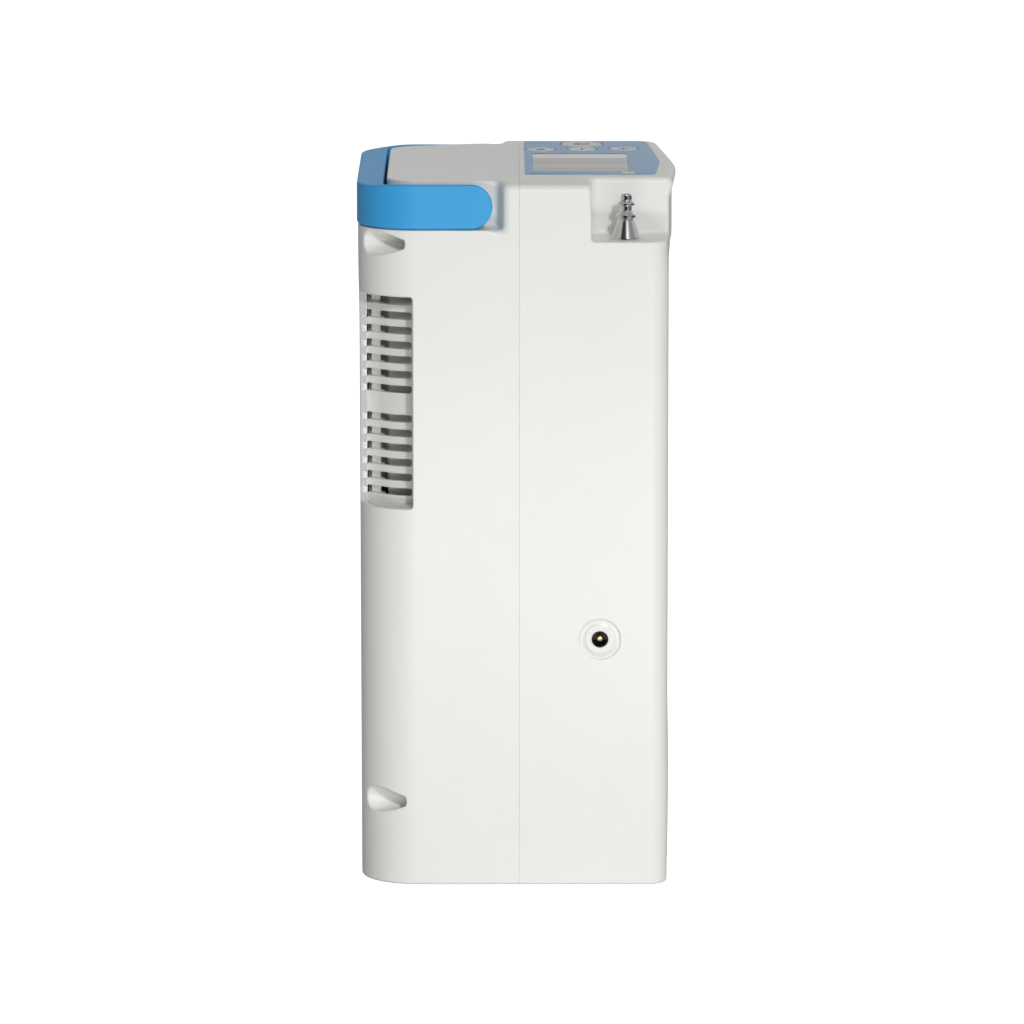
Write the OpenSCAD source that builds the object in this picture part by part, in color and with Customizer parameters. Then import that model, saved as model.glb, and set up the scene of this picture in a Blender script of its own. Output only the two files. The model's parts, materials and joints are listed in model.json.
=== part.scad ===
// Portable oxygen concentrator, millimetres.
// X runs from the back (-) to the control side (+), Y across the width,
// Z up. The origin is in the middle of the base, on the plane it stands on.

/* [Casing] */
// Depth of the casing, back to front, at its sides
body_d = 106; // [105:0.5:107]
// Width of the casing
body_w = 125; // [124:0.5:126]
// Height of the casing
body_h = 246; // [245:0.5:248]
// Wall thickness of both shells
wall = 2.5; // [2.2:0.1:2.6]
// Plan radius of the rear corners
corner_rear = 20; // [19:0.5:21]
// Plan radius of the front corners
corner_front = 5; // [4:0.5:6]
// Place of the seam between the shells, from the middle of the depth
seam_x = 2; // [1.5:0.1:2.5]

/* [Carry handle] */
// Height of the handle band
handle_h = 15.5; // [15:0.1:16]
// Thickness of the handle band
handle_t = 8.7; // [8:0.1:9]
// Thickness of the handle's two arms
arm_t = 2.6; // [2.4:0.1:3]
// Gap between the handle and the casing
handle_gap = 1.3; // [1:0.1:1.5]
// Place of the pivot along the depth
pivot_x = -15; // [-16:0.5:-14]
// Radius of the pivot pins
pivot_r = 3; // [2.5:0.1:3.2]

/* [Louvres] */
// Lower edge of the louvre window
win_z0 = 132.8; // [132:0.2:133.6]
// Upper edge of the louvre window
win_z1 = 206.8; // [206:0.2:207.6]
// Height of one slot
slot_h = 2.55; // [2.2:0.05:2.7]
// Distance from one slot to the next
slot_pitch = 5.15; // [5.05:0.05:5.25]
// How deep the louvres lie behind the side of the casing
louvre_in = 10.5; // [10:0.5:11]

/* [Oxygen outlet] */
// Height of the ledge below the top
ledge_h = 20; // [19:0.5:21]
// Largest radius of the upper barb
barb_top_r = 2.95; // [2.8:0.05:3.1]
// Largest radius of the lower barb
barb_low_r = 3.46; // [3.3:0.02:3.6]

/* [Power jack] */
// Height of the jack above the base
jack_z = 87; // [86:0.5:88]
// Radius of the jack's hole
jack_r = 2.84; // [2.75:0.01:2.9]
// Radius of the centre pin
jack_pin_r = 1.05; // [0.9:0.05:1.25]

/* [Buttons] */
// Radius of the small buttons
button_r = 5.25; // [5:0.05:5.4]
// Radius of the power button
power_r = 7.5; // [7:0.1:7.6]
// Travel of a button
button_travel = 0.6; // [0.4:0.1:0.6]

/* [Hidden] */
$fn = 64;

H = body_h;
W2 = body_w / 2;
xb = -body_d / 2;
xf = body_d / 2;
z_rec = H - 16.4;            // floor of the handle recess
x_rec = -3.2;                // end wall of the handle recess
isl = handle_t + handle_gap; // inset of the body beside the handle
z_led = H - ledge_h;         // floor of the outlet ledge
x_led = 26.7;
y_led = -W2 + 21.4;
piv_z = H - 7.9;
nz = [38.8, -W2 + 8.8];      // axis of the oxygen outlet
jk_x = 29.9;
lcd_a = [6.7, -27];
lcd_b = [40.2, 22];
small_c = [[9.7, 33.6], [24.5, 34.8], [39.2, 35.8]];
power_c = [24.4, 49.3];
crank = [-20, 38];           // crankshaft axis, X and Z
cyl_y = [-30, -3];
throw = 2.5;
fan_c = [-17, 53.5, 63];
screw_z = [29.7, H - 21.2];
screw_y = W2 - 5.8;
slots_lo = [for (i = [0:5]) win_z0 + 2.9 + i * slot_pitch];
slots_hi = [for (i = [0:6]) win_z1 - slot_h - 1.7 - i * slot_pitch];
slot_zs = concat(slots_lo, slots_hi);

// front edge of the plan outline at y
function fx(y, x0, k) = x0 - k * sqrt(y * y + 25);
function arc(cx, cy, r, a0, a1, n) =
  [for (k = [0:n]) let(a = a0 + (a1 - a0) * k / n) [cx + r * cos(a), cy + r * sin(a)]];
// plan outline, moved in by i; x0 and k set the crown of the front
function outline(i, x0, k) =
  let(rf = max(corner_front - i, 0.6), yf = W2 - i - rf, cx = fx(yf, x0, k) - i - rf)
  concat(
    [for (j = [1:7]) let(y = -yf + 2 * yf * j / 8) [fx(y, x0, k) - i, y]],
    arc(cx, yf, rf, 0, 90, 6),
    arc(xb + corner_rear, W2 - corner_rear, corner_rear - i, 90, 180, 12),
    arc(xb + corner_rear, corner_rear - W2, corner_rear - i, 180, 270, 12),
    arc(cx, -yf, rf, 270, 360, 6));
low_x0 = xf + 1.3;
low_k = 0.025;
head_x0 = xf + 4;
head_k = 0.07;

module prism(z0, z1, i, x0 = low_x0, k = low_k)
  translate([0, 0, z0]) linear_extrude(z1 - z0) polygon(outline(i, x0, k));
module block(a, b) translate(a) cube(b - a);
module rod_y(x, z, r, y0, y1) translate([x, y0, z]) rotate([-90, 0, 0]) cylinder(r = r, h = y1 - y0);
module rod_x(y, z, r, x0, x1) translate([x0, y, z]) rotate([0, 90, 0]) cylinder(r = r, h = x1 - x0);
module rod_z(x, y, r, z0, z1) translate([x, y, z0]) cylinder(r = r, h = z1 - z0);
module ring_z(x, y, ro, ri, z0, z1) difference() {
  rod_z(x, y, ro, z0, z1);
  rod_z(x, y, ri, z0 - 1, z1 + 1);
}
module ring_y(x, z, ro, ri, y0, y1) difference() {
  rod_y(x, z, ro, y0, y1);
  rod_y(x, z, ri, y0 - 1, y1 + 1);
}
module sides() {
  children();
  mirror([0, 1, 0]) children();
}

// smooth curve through hand-set points, and a round tube along it
function unit(v) = v / norm(v);
function cr(a, b, c, d, t) =
  0.5 * ((2 * b) + (c - a) * t + (2 * a - 5 * b + 4 * c - d) * t * t + (3 * b - a - 3 * c + d) * t * t * t);
function smooth(p, m) = let(n = len(p) - 1) concat(
  [for (i = [0:n - 1]) for (j = [0:m - 1])
    cr(p[max(i - 1, 0)], p[i], p[i + 1], p[min(i + 2, n)], j / m)], [p[n]]);
module tube(p, r, ref = [0, 0, 1], n = 10, d0 = undef, d1 = undef) {
  m = len(p);
  pts = [for (i = [0:m - 1])
    let(t = (i == 0 && d0 != undef) ? d0 : (i == m - 1 && d1 != undef) ? d1 : unit(p[min(i + 1, m - 1)] - p[max(i - 1, 0)]), u = unit(cross(ref, t)), v = cross(t, u))
    for (k = [0:n - 1]) p[i] + r * (cos(360 * k / n) * u + sin(360 * k / n) * v)];
  polyhedron(pts, concat(
    [[for (k = [0:n - 1]) k]],
    [[for (k = [n - 1:-1:0]) (m - 1) * n + k]],
    [for (i = [0:m - 2]) for (k = [0:n - 1])
      [i * n + k, (i + 1) * n + k, (i + 1) * n + (k + 1) % n, i * n + (k + 1) % n]]));
}

// ---------------------------------------------------------------- casing
// closed loft through plan outlines, each [height, inset, x0, k]
module loft(rows) {
  n = len(outline(0, low_x0, low_k));
  m = len(rows);
  pts = [for (r = rows) for (p = outline(r[1], r[2], r[3])) [p[0], p[1], r[0]]];
  polyhedron(pts, concat(
    [[for (k = [0:n - 1]) k]],
    [[for (k = [n - 1:-1:0]) (m - 1) * n + k]],
    [for (i = [0:m - 2]) for (k = [0:n - 1])
      [i * n + k, (i + 1) * n + k, (i + 1) * n + (k + 1) % n, i * n + (k + 1) % n]]));
}
body_x0 = low_x0 + 0.6;
brow_x0 = head_x0 + 0.5;
brow_k = 0.09;
module casing() loft([
  [0, 1.8, body_x0 + 0.3, low_k],
  [0.7, 0.6, body_x0 + 0.3, low_k],
  [2.4, 0, body_x0 + 0.3, low_k],
  [35, 0, body_x0 + 0.3, low_k],
  [70, 0, body_x0, low_k],
  [z_led - 8, 0, body_x0, low_k],
  [z_led - 5, 0, brow_x0 - 1.4, brow_k],
  [H - 8, 0, brow_x0 - 1.4, brow_k],
  [H - 3, 0, brow_x0, brow_k],
  [H - 1, 0.5, brow_x0, brow_k],
  [H, 1.8, brow_x0, brow_k]]);

// space outside the raised middle, where the handle lies
module handle_recess() difference() {
  // its two end walls lean in towards the pivots
  translate([0, 0, z_rec]) linear_extrude(H + 5 - z_rec) polygon([
    [xb - 5, -W2 - 5], [x_rec + 1, -W2 - 5], [x_rec - 2.3, -W2 + 10], [x_rec - 2.3, W2 - 10],
    [x_rec + 1, W2 + 5], [xb - 5, W2 + 5]]);
  prism(z_rec - 1, H + 6, isl, low_x0, low_k);
}

module ledge_cut() block([x_led, -W2 - 5, z_led], [xf + 20, y_led, H + 5]);

module vent_slots(x0, x1, ya, yb) for (z = slot_zs) block([x0, ya, z], [x1, yb, z + slot_h]);

module rear_shell() color([0.93, 0.93, 0.91]) difference() {
  union() {
    difference() {
      intersection() {
        casing();
        block([xb - 5, -W2 - 5, -1], [seam_x, W2 + 5, H + 5]);
      }
      // one hollow, stepped in under the handle recess
      difference() {
        prism(wall, H - wall, wall);
        difference() {
          block([xb - 5, -W2 - 5, z_rec - wall], [x_rec + wall, W2 + 5, H + 5]);
          prism(z_rec - wall - 1, H + 6, isl + wall);
        }
      }
    }
    // screw towers
    intersection() {
      prism(wall, z_rec, 0.5);
      sides() for (z = screw_z) rod_x(-screw_y, z, 5.4, xb, seam_x);
    }
  }
  handle_recess();
  // louvre window at both rear corners
  sides() block([xb + 2.9, -W2 - 5, win_z0], [-34.8, -44, win_z1]);
  // the slots run on into the corner, and through the back
  sides() vent_slots(xb - 5, xb + 4, -W2 + louvre_in - 1, -W2 + louvre_in + 6);
  vent_slots(xb - 5, xb + 4, -24, 24);
  sides() vent_slots(xb - 5, xb + 4, -41, -28.5);
  // fan outlet in the far side
  for (i = [0:6]) block([-32, W2 - 4, 48 + i * 4.6], [-2, W2 + 2, 50.4 + i * 4.6]);
  // screw wells, open at the corners
  sides() for (z = screw_z) {
    rod_x(-screw_y, z, 3.35, xb - 5, -28);
    rod_x(-screw_y + 1.9, z, 3.35, xb - 5, -28);
    rod_x(-screw_y, z, 1.7, -40, seam_x + 5);
  }
  // pivot pin holes
  sides() rod_y(pivot_x, piv_z, pivot_r + 0.02, -W2, -W2 + isl + wall + 5);
  // foot pockets
  sides() rod_z(-36, -44, 5.5, -1, 1.2);
}

module front_shell() color([0.94, 0.94, 0.92]) difference() {
  union() {
    difference() {
      intersection() {
        casing();
        block([seam_x, -W2 - 5, -1], [xf + 20, W2 + 5, H + 5]);
      }
      difference() {
        prism(wall, H - wall, wall);
        block([x_led - wall, -W2 - 5, z_led - wall], [xf + 20, y_led + wall, H + 5]);
      }
    }
    intersection() {
      prism(wall, H - 2, 0.5);
      union() {
        sides() for (z = screw_z) rod_x(-screw_y, z, 5.4, seam_x, 20);
        // boss round the power jack
        rod_y(jk_x, jack_z, 8.2, -W2, -W2 + 6);
      }
    }
  }
  ledge_cut();
  // screw pilot holes
  sides() for (z = screw_z) rod_x(-screw_y, z, 1.5, seam_x - 5, 17);
  // outlet stem hole
  rod_z(nz[0], nz[1], 3.05, z_led - 5, z_led + 1);
  // power jack hole and dish
  rod_y(jk_x, jack_z, 5.62, -W2 - 1, -W2 + 8);
  rod_y(jk_x, jack_z, 7, -W2 - 1, -W2 + 1);
  // overlay seat, display opening and button holes
  translate([0, 0, H - 0.4]) linear_extrude(3) overlay_2d(0.05);
  block([lcd_a[0] - 1.3, lcd_a[1] - 1.3, H - 1.6], [lcd_b[0] + 1.3, lcd_b[1] + 1.3, H + 1]);
  block([lcd_a[0] + 0.8, lcd_a[1] + 0.8, H - 5], [lcd_b[0] - 0.8, lcd_b[1] - 0.8, H + 1]);
  for (c = small_c) rod_z(c[0], c[1], button_r + 0.3, H - 5, H + 1);
  rod_z(power_c[0], power_c[1], power_r + 0.3, H - 5, H + 1);
  block([36.9, -34, H - 5], [42.5, -29.4, H + 1]);
  // foot pockets
  for (y = [-54, 54]) rod_z(45.5, y, 4.5, -1, 1.2);
}

// louvred insert behind the window: curved wall, sill, lintel and jambs
function louvre_line(i) =
  let(c = [xb + corner_rear, -W2 + louvre_in + 17.5])
  concat([[-32, -W2 + louvre_in + i]], arc(c[0], c[1], 17.5 - i, 270, 180, 12));
function flip(p) = [for (k = [len(p) - 1:-1:0]) [p[k][0], -p[k][1]]];
module louvre_ring(z0, z1, i0, i1) translate([0, 0, z0]) linear_extrude(z1 - z0)
  polygon(concat(louvre_line(i0), flip(louvre_line(i0)), louvre_line2(i1)));
function louvre_line2(i) = let(a = concat(louvre_line(i), flip(louvre_line(i))))
  [for (k = [len(a) - 1:-1:0]) a[k]];
module rear_grille() color([0.9, 0.9, 0.88]) {
  difference() {
    louvre_ring(win_z0 - 2, win_z1 + 2, 0.02, 1.6);
    sides() {
      vent_slots(xb, -35.2, -W2 + louvre_in - 1, -28);
    }
    vent_slots(xb, xb + 8, -24, 24);
  }
  // ribs inside the rear wall; the middle one screens the battery's edge
  sides() block([xb + wall + 1.5, -28, win_z0 - 2], [xb + 7, -24, win_z1 + 2]);
  block([xb + wall + 1.5, -1.25, win_z0 - 2], [xb + 9.2, 1.25, win_z1 + 2]);
  // sill, lintel and jambs of each side pocket
  sides() {
    for (z = [win_z0 - 2, win_z1]) difference() {
      intersection() {
        prism(z, z + 2, wall + 0.03);
        block([xb, -W2, 0], [-32, -W2 + louvre_in + 17, H]);
      }
      translate([0, 0, z - 1]) linear_extrude(4)
        polygon(concat(louvre_line(0.02), [[xb + 2.5, 0], [-31, 0], [-31, -W2 + louvre_in + 0.02]]));
    }
    block([-34.6, -W2 + wall + 0.15, win_z0], [-32, -W2 + louvre_in + 0.02, win_z1]);
  }
}

module case_screws() color([0.7, 0.7, 0.72]) sides() for (z = screw_z) {
  difference() {
    rod_x(-screw_y, z, 2.7, -30.2, -28);
    translate([-30.7, -screw_y, z]) rotate([0, 90, 0]) cylinder(r = 1.4, h = 1.7, $fn = 6);
  }
  rod_x(-screw_y, z, 1.48, -28, 14);
}

module rubber_feet() color([0.15, 0.15, 0.15]) {
  sides() rod_z(-36, -44, 5.4, 0, 1.18);
  for (y = [-54, 54]) rod_z(45.5, y, 4.4, 0, 1.18);
}

// ---------------------------------------------------------------- handle
function handle_line(i, a = 180) = let(xe = pivot_x, cx = xb + corner_rear - 0.6, cy = W2 - corner_rear)
  concat([[xe, -W2 - 0.6 + i]],
    arc(cx, -cy, corner_rear + 0.6 - i, 270, a, 12),
    arc(cx, cy, corner_rear + 0.6 - i, 360 - a, 90, 12),
    [[xe, W2 + 0.6 - i]]);
// where the thin arms meet the thick grip, as an angle round the corner
grip_a = 180 + acos((corner_rear + 0.6 - handle_t) / (corner_rear + 0.6 - arm_t));
module carry_handle() color([0.33, 0.66, 0.87]) difference() {
  union() {
    translate([0, 0, piv_z - handle_h / 2]) linear_extrude(handle_h)
      polygon(concat(handle_line(0), [for (a = [handle_line(arm_t, grip_a)]) for (k = [len(a) - 1:-1:0]) a[k]]));
    sides() {
      rod_y(pivot_x, piv_z, handle_h / 2, -W2 - 0.6, -W2 - 0.6 + arm_t);
      rod_y(pivot_x, piv_z, 6, -W2 - 0.6 + arm_t - 0.5, -W2 - 0.6 + handle_t);
    }
  }
  sides() rod_y(pivot_x, piv_z, pivot_r + 0.05, -W2 + 1.6, -W2 + 10);
}
module handle_pivot_pins() color([0.72, 0.72, 0.74]) sides() {
  rod_y(pivot_x, piv_z, pivot_r, -W2 + 1.9, -W2 + isl + wall + 1.4);
  difference() {
    rod_y(pivot_x, piv_z, 5, -W2 + isl + wall + 0.02, -W2 + isl + wall + 1.5);
    rod_y(pivot_x, piv_z, pivot_r - 0.5, -W2 + isl + wall - 1, -W2 + isl + wall + 1);
  }
}
module handle_pin_clips() color([0.5, 0.5, 0.52]) sides() difference() {
  block([pivot_x - 4, -W2 + isl + wall + 1.55, piv_z - 4], [pivot_x + 4, -W2 + isl + wall + 2.4, piv_z + 4]);
  block([pivot_x - 1.2, -W2 + isl + wall + 1, piv_z - 9], [pivot_x + 1.2, -W2 + isl + wall + 3, piv_z]);
}

// ---------------------------------------------------------------- controls
module overlay_2d(g) polygon(concat(
  [[3.9 - g, -36 - g], [fx(-36, head_x0, head_k) - 6.6 + g, -36 - g]],
  [for (j = [0:8]) let(y = -33 + 87 * j / 8) [fx(y, head_x0, head_k) - 5.3 + g, y]],
  [[fx(58, head_x0, head_k) - 7.4 + g, 58.3 + g], [3.9 - g, 58.3 + g]]));
module control_overlay() color([0.33, 0.62, 0.85]) difference() {
  translate([0, 0, H - 0.4]) linear_extrude(0.4) overlay_2d(0);
  block([lcd_a[0], lcd_a[1], H - 1], [lcd_b[0], lcd_b[1], H + 1]);
  for (c = small_c) rod_z(c[0], c[1], button_r + 0.3, H - 1, H + 1);
  rod_z(power_c[0], power_c[1], power_r + 0.3, H - 1, H + 1);
  block([37, -33.9, H - 1], [42.4, -29.5, H + 1]);
}
module lcd_window() color([0.7, 0.75, 0.72, 0.6])
  block([lcd_a[0] - 1.25, lcd_a[1] - 1.25, H - 1.6], [lcd_b[0] + 1.25, lcd_b[1] + 1.25, H - 0.6]);
module lcd_module() color([0.55, 0.6, 0.55]) {
  block([lcd_a[0] - 2, lcd_a[1] - 2, H - 7], [lcd_b[0] + 2, lcd_b[1] + 2, H - wall - 0.1]);
  block([lcd_a[0] - 2.6, lcd_a[1] - 4, H - 8.6], [lcd_b[0] + 2.6, lcd_b[1] + 3, H - 7]);
}
module button(c, r) {
  rod_z(c[0], c[1], r, H - 3.4, H + 0.25);
  rod_z(c[0], c[1], r + 0.7, H - 3.4, H - wall - 0.12);
}
module power_button() color([0.9, 0.9, 0.9]) button(power_c, power_r);
module mute_button() color([0.9, 0.9, 0.9]) button(small_c[0], button_r);
module flow_down_button() color([0.9, 0.9, 0.9]) button(small_c[1], button_r);
module flow_up_button() color([0.9, 0.9, 0.9]) button(small_c[2], button_r);
module button_domes() color([0.8, 0.8, 0.75])
  for (c = concat(small_c, [power_c])) {
    rod_z(c[0], c[1], 2, H - 5, H - 3.5 - button_travel);
    rod_z(c[0], c[1], 3.2, H - 5, H - 4.6);
  }
module keypad_board() color([0.1, 0.4, 0.2]) block([3.4, 26.4, H - 6.6], [47, 55.5, H - 5]);
module status_light() color([0.9, 0.8, 0.3]) {
  block([37.05, -33.85, H - 3], [42.35, -29.55, H - 0.05]);
  block([38, -33, H - 5.5], [41.4, -30.6, H - 3]);
}
module display_ribbon_cable() color([0.85, 0.85, 0.8]) {
  block([8, 22, H - 9], [16, 25.0, H - 8.6]);
  block([8, 24.6, 218.6], [16, 25.0, H - 8.6]);
  block([-2.9, 20, 218.6], [16, 25, 219]);
}

// ---------------------------------------------------------------- outlet
module outlet_nozzle() color([0.75, 0.76, 0.78]) translate([nz[0], nz[1], z_led]) difference() {
  rotate_extrude() polygon([
    [0, 0.8], [4.9, 0.8], [4.9, 1.6], [4.6, 2.1], [2.9, 6.4], [2.75, 7.1], [barb_low_r, 7.5], [barb_low_r, 8.5],
    [2.5, 9.1], [2.05, 9.7], [2.05, 11.4], [barb_top_r, 11.7], [barb_top_r, 12.6], [2.35, 13.0], [2.05, 13.5],
    [2.0, 15.3], [1.85, 15.5], [0, 15.5]]);
  translate([0, 0, -2]) cylinder(r = 1.3, h = 30);
}
module outlet_o_ring() color([0.1, 0.1, 0.1]) ring_z(nz[0], nz[1], 4.2, 3.0, z_led, z_led + 0.78);
module outlet_nut() color([0.7, 0.7, 0.72]) difference() {
  translate([nz[0], nz[1], z_led - wall - 3.5]) cylinder(r = 5, h = 3.5, $fn = 6);
  rod_z(nz[0], nz[1], 3.02, z_led - 9, z_led);
}
module outlet_elbow() color([0.75, 0.76, 0.78]) difference() {
  union() {
    rod_z(nz[0], nz[1], 2.98, z_led - 16, z_led + 0.78);
    rod_x(nz[1], z_led - 12, 2.98, nz[0] - 10, nz[0]);
    rod_x(nz[1], z_led - 12, 2.2, nz[0] - 15, nz[0] - 9);
  }
  rod_z(nz[0], nz[1], 1.3, z_led - 12, z_led + 3);
  rod_x(nz[1], z_led - 12, 1.3, nz[0] - 16, nz[0]);
}

// ---------------------------------------------------------------- power jack
module jack_ring(p) translate([jk_x, -W2, jack_z]) rotate([-90, 0, 0]) rotate_extrude() polygon(p);
module dc_jack_bezel() color([0.92, 0.92, 0.9])
  jack_ring([[3.4, 0.3], [4.6, 0.05], [5.5, 0.1], [6.2, 0.6], [6.9, 0.35], [6.95, 0.98], [5.56, 0.98], [5.56, 2.6], [3.4, 2.6]]);
module dc_jack_body() color([0.08, 0.08, 0.08]) difference() {
  union() {
    rod_y(jk_x, jack_z, 3.38, -W2 + 0.3, -W2 + 3);
    rod_y(jk_x, jack_z, 5.5, -W2 + 2.62, -W2 + 14);
  }
  rod_y(jk_x, jack_z, jack_r, -W2 - 1, -W2 + 10.5);
  rod_y(jk_x, jack_z, 0.65, -W2 + 9, -W2 + 15);
  block([jk_x - 4.1, -W2 + 4, jack_z - 1], [jk_x - 2, -W2 + 10.5, jack_z + 1]);
}
module dc_jack_pin() color([0.85, 0.68, 0.3]) {
  rod_y(jk_x, jack_z, jack_pin_r, -W2 + 1.8, -W2 + 10.48);
  rod_y(jk_x, jack_z, 0.6, -W2 + 10.4, -W2 + 17);
}
module dc_jack_spring() color([0.85, 0.68, 0.3])
  block([jk_x - 3.9, -W2 + 4.2, jack_z - 0.8], [jk_x - 3.5, -W2 + 10.3, jack_z + 0.8]);

// ---------------------------------------------------------------- inside
module chassis_frame() color([0.35, 0.37, 0.4]) difference() {
  union() {
    block([-44, -46, 9], [46, 46, 11.5]);
    block([5, -46, 11.5], [7.5, 46, 214]);
    block([-44, -46, 110], [5, 46, 112.5]);
    for (x = [-40, 40], y = [-36, 36]) rod_z(x, y, 4, wall, 9);
    for (y = [-45.9, 43.9]) block([-40, y, 112.5], [-6, y + 2, 126]);
  }
  for (x = [-40, 40], y = [-36, 36]) rod_z(x, y, 1.6, wall + 1, 12);
  // passages for hoses and wires
  rod_x(-34, 60, 7.5, 2, 12);
  rod_x(36, 150, 7, 2, 12);
  rod_x(0, 204, 8, 2, 12);
  rod_z(0, 40, 4.5, 105, 118);
  block([-30, -20, 8], [-10, 20, 12]);
}
module chassis_screws() color([0.7, 0.7, 0.72])
  for (x = [-40, 40], y = [-36, 36]) {
    rod_z(x, y, 1.55, wall + 1.5, 11.5);
    rod_z(x, y, 2.8, 11.5, 13.2);
  }
module compressor_mounts() color([0.12, 0.12, 0.12])
  for (x = [-33, -7], y = [-40, 7]) {
    rod_z(x, y, 4, 11.5, 20);
    rod_z(x, y, 5, 14, 17);
  }
module compressor_crankcase() color([0.72, 0.73, 0.75]) difference() {
  union() {
    block([crank[0] - 16, -44, 20], [crank[0] + 16, 11, 52]);
    rod_y(crank[0], crank[1], 15, 11, 13.5);
    for (x = [-33, -7], y = [-40, 7]) block([x - 5, y - 4, 20], [x + 5, y + 4, 23]);
  }
  block([crank[0] - 13.5, -41, 22.6], [crank[0] + 13.5, 8, 49.5]);
  for (y = cyl_y) rod_z(crank[0], y, 11, 45, 60);
  rod_y(crank[0], crank[1], 6.02, -45, 20);
}
module compressor_cylinders() color([0.78, 0.79, 0.8]) for (y = cyl_y) difference() {
  union() {
    rod_z(crank[0], y, 11.8, 52, 82);
    for (z = [56:5:78]) rod_z(crank[0], y, 13.2, z, z + 1.6);
  }
  rod_z(crank[0], y, 10.05, 50, 84);
}
module cylinder_head() color([0.7, 0.71, 0.73]) {
  difference() {
    block([crank[0] - 14, -44, 82], [crank[0] + 14, 11, 90]);
    for (y = cyl_y) rod_z(crank[0], y, 8, 81, 86);
  }
  for (p = [[-26, -30], [-14, -30], [-26, -3], [-14, -3]]) {
    rod_z(p[0], p[1], 2.4, 90, 93);
    rod_z(p[0], p[1], 1.9, 93, 97);
  }
  for (x = [-31.5, -8.5], y = [-41, 8]) rod_z(x, y, 2, 90, 91.5);
}
module piston(y) {
  rod_z(crank[0], y, 10, 66, 71);
  rod_z(crank[0], y, 5, 63.5, 66);
  block([crank[0] - 2.5, y - 2, crank[1] + 11], [crank[0] + 2.5, y + 2, 64]);
  ring_y(crank[0], crank[1], 12, 9.4, y - 2.5, y + 2.5);
}
module piston_a() color([0.8, 0.8, 0.78]) piston(cyl_y[0]);
module piston_b() color([0.8, 0.8, 0.78]) piston(cyl_y[1]);
module crankshaft_rotor() color([0.6, 0.6, 0.62]) {
  rod_y(crank[0], crank[1], 2.5, -45.5, 47.5);
  rod_y(crank[0] , crank[1] + throw, 4, cyl_y[0] - 3.4, cyl_y[0] + 3.4);
  rod_y(crank[0], crank[1] - throw, 4, cyl_y[1] - 3.4, cyl_y[1] + 3.4);
  rod_y(crank[0], crank[1], 6.2, -20, -14);
  rod_y(crank[0], crank[1], 11, 19, 41);
}
module crankshaft_bearings() color([0.65, 0.66, 0.68]) {
  ring_y(crank[0], crank[1], 6, 2.54, -44, -41);
  ring_y(crank[0], crank[1], 6, 2.54, 9, 13);
  ring_y(crank[0], crank[1], 5, 2.54, 44.6, 47);
}
module motor_housing() color([0.25, 0.26, 0.28]) difference() {
  rod_y(crank[0], crank[1], 19, 13.5, 47);
  rod_y(crank[0], crank[1], 17.5, 16, 44.5);
  rod_y(crank[0], crank[1], 5.02, 40, 50);
  rod_y(crank[0], crank[1], 6.5, 10, 20);
}
module motor_stator() color([0.7, 0.42, 0.2]) {
  ring_y(crank[0], crank[1], 17.48, 15, 19, 41);
  for (a = [0:40:320]) translate([crank[0], 0, crank[1]]) rotate([0, a, 0])
    block([11.7, 20, -2.4], [15.4, 40, 2.4]);
}

bed_c = [[29, -19.6], [29, 19.6]];
module sieve_bed(c) {
  difference() {
    rod_z(c[0], c[1], 18.5, 24, 176);
    rod_z(c[0], c[1], 17.3, 27, 173);
  }
}
module sieve_bed_a() color([0.8, 0.81, 0.83]) sieve_bed(bed_c[0]);
module sieve_bed_b() color([0.8, 0.81, 0.83]) sieve_bed(bed_c[1]);
module sieve_bottom_manifold() color([0.3, 0.32, 0.35]) {
  block([9.5, -38.2, 14.5], [48.3, 38.2, 24]);
  for (y = [-30, 30], x = [14, 44]) rod_z(x, y, 4, 11.5, 14.5);
  rod_y(26, 19, 2.2, -44, -38.2);
}
module sieve_top_manifold() color([0.3, 0.32, 0.35]) {
  block([9.5, -38.2, 176], [48.3, 38.2, 192]);
  rod_y(30, 184, 2.2, -43, -38.2);
  rod_y(31, 184, 2.2, 38.2, 42);
}
module solenoid_valves() color([0.15, 0.2, 0.3]) for (x = [18, 38], y = [-14, 14]) {
  block([x - 7.5, y - 8, 192], [x + 7.5, y + 8, 198]);
  rod_z(x, y, 6.5, 198, 214);
  block([x - 2, y - 6, 214], [x + 2, y + 6, 216]);
}
module product_tank() color([0.82, 0.83, 0.85]) difference() {
  union() {
    rod_z(31, 49.4, 9.2, 16, 150);
    rod_z(31, 49.4, 4, 150, 156);
    rod_z(31, 49.4, 2.2, 156, 161);
  }
  rod_z(31, 49.4, 7.9, 18, 148);
}
module demand_valve() color([0.2, 0.22, 0.25]) {
  block([27, -58.5, 176], [45, -44.5, 194]);
  rod_z(36, -51.5, 5.5, 194, 200);
  rod_x(-52, 186, 2.2, 22, 27);
}
module oxygen_sensor() color([0.85, 0.85, 0.8]) {
  block([9, -56, 178], [19, -44.5, 196]);
  rod_x(-52, 186, 2.2, 19, 21.96);
}
module intake_filter() color([0.85, 0.8, 0.6]) {
  rod_z(-31, 32, 10, 72, 106);
  rod_z(-31, 32, 6, 106, 110);
  rod_z(-31, 32, 2.2, 67, 72);
}
module exhaust_silencer() color([0.4, 0.4, 0.42]) {
  rod_z(-7, 32, 9, 70, 106);
  rod_z(-7, 32, 5, 106, 110);
  rod_z(-7, 32, 2.2, 65, 70);
}
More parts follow.
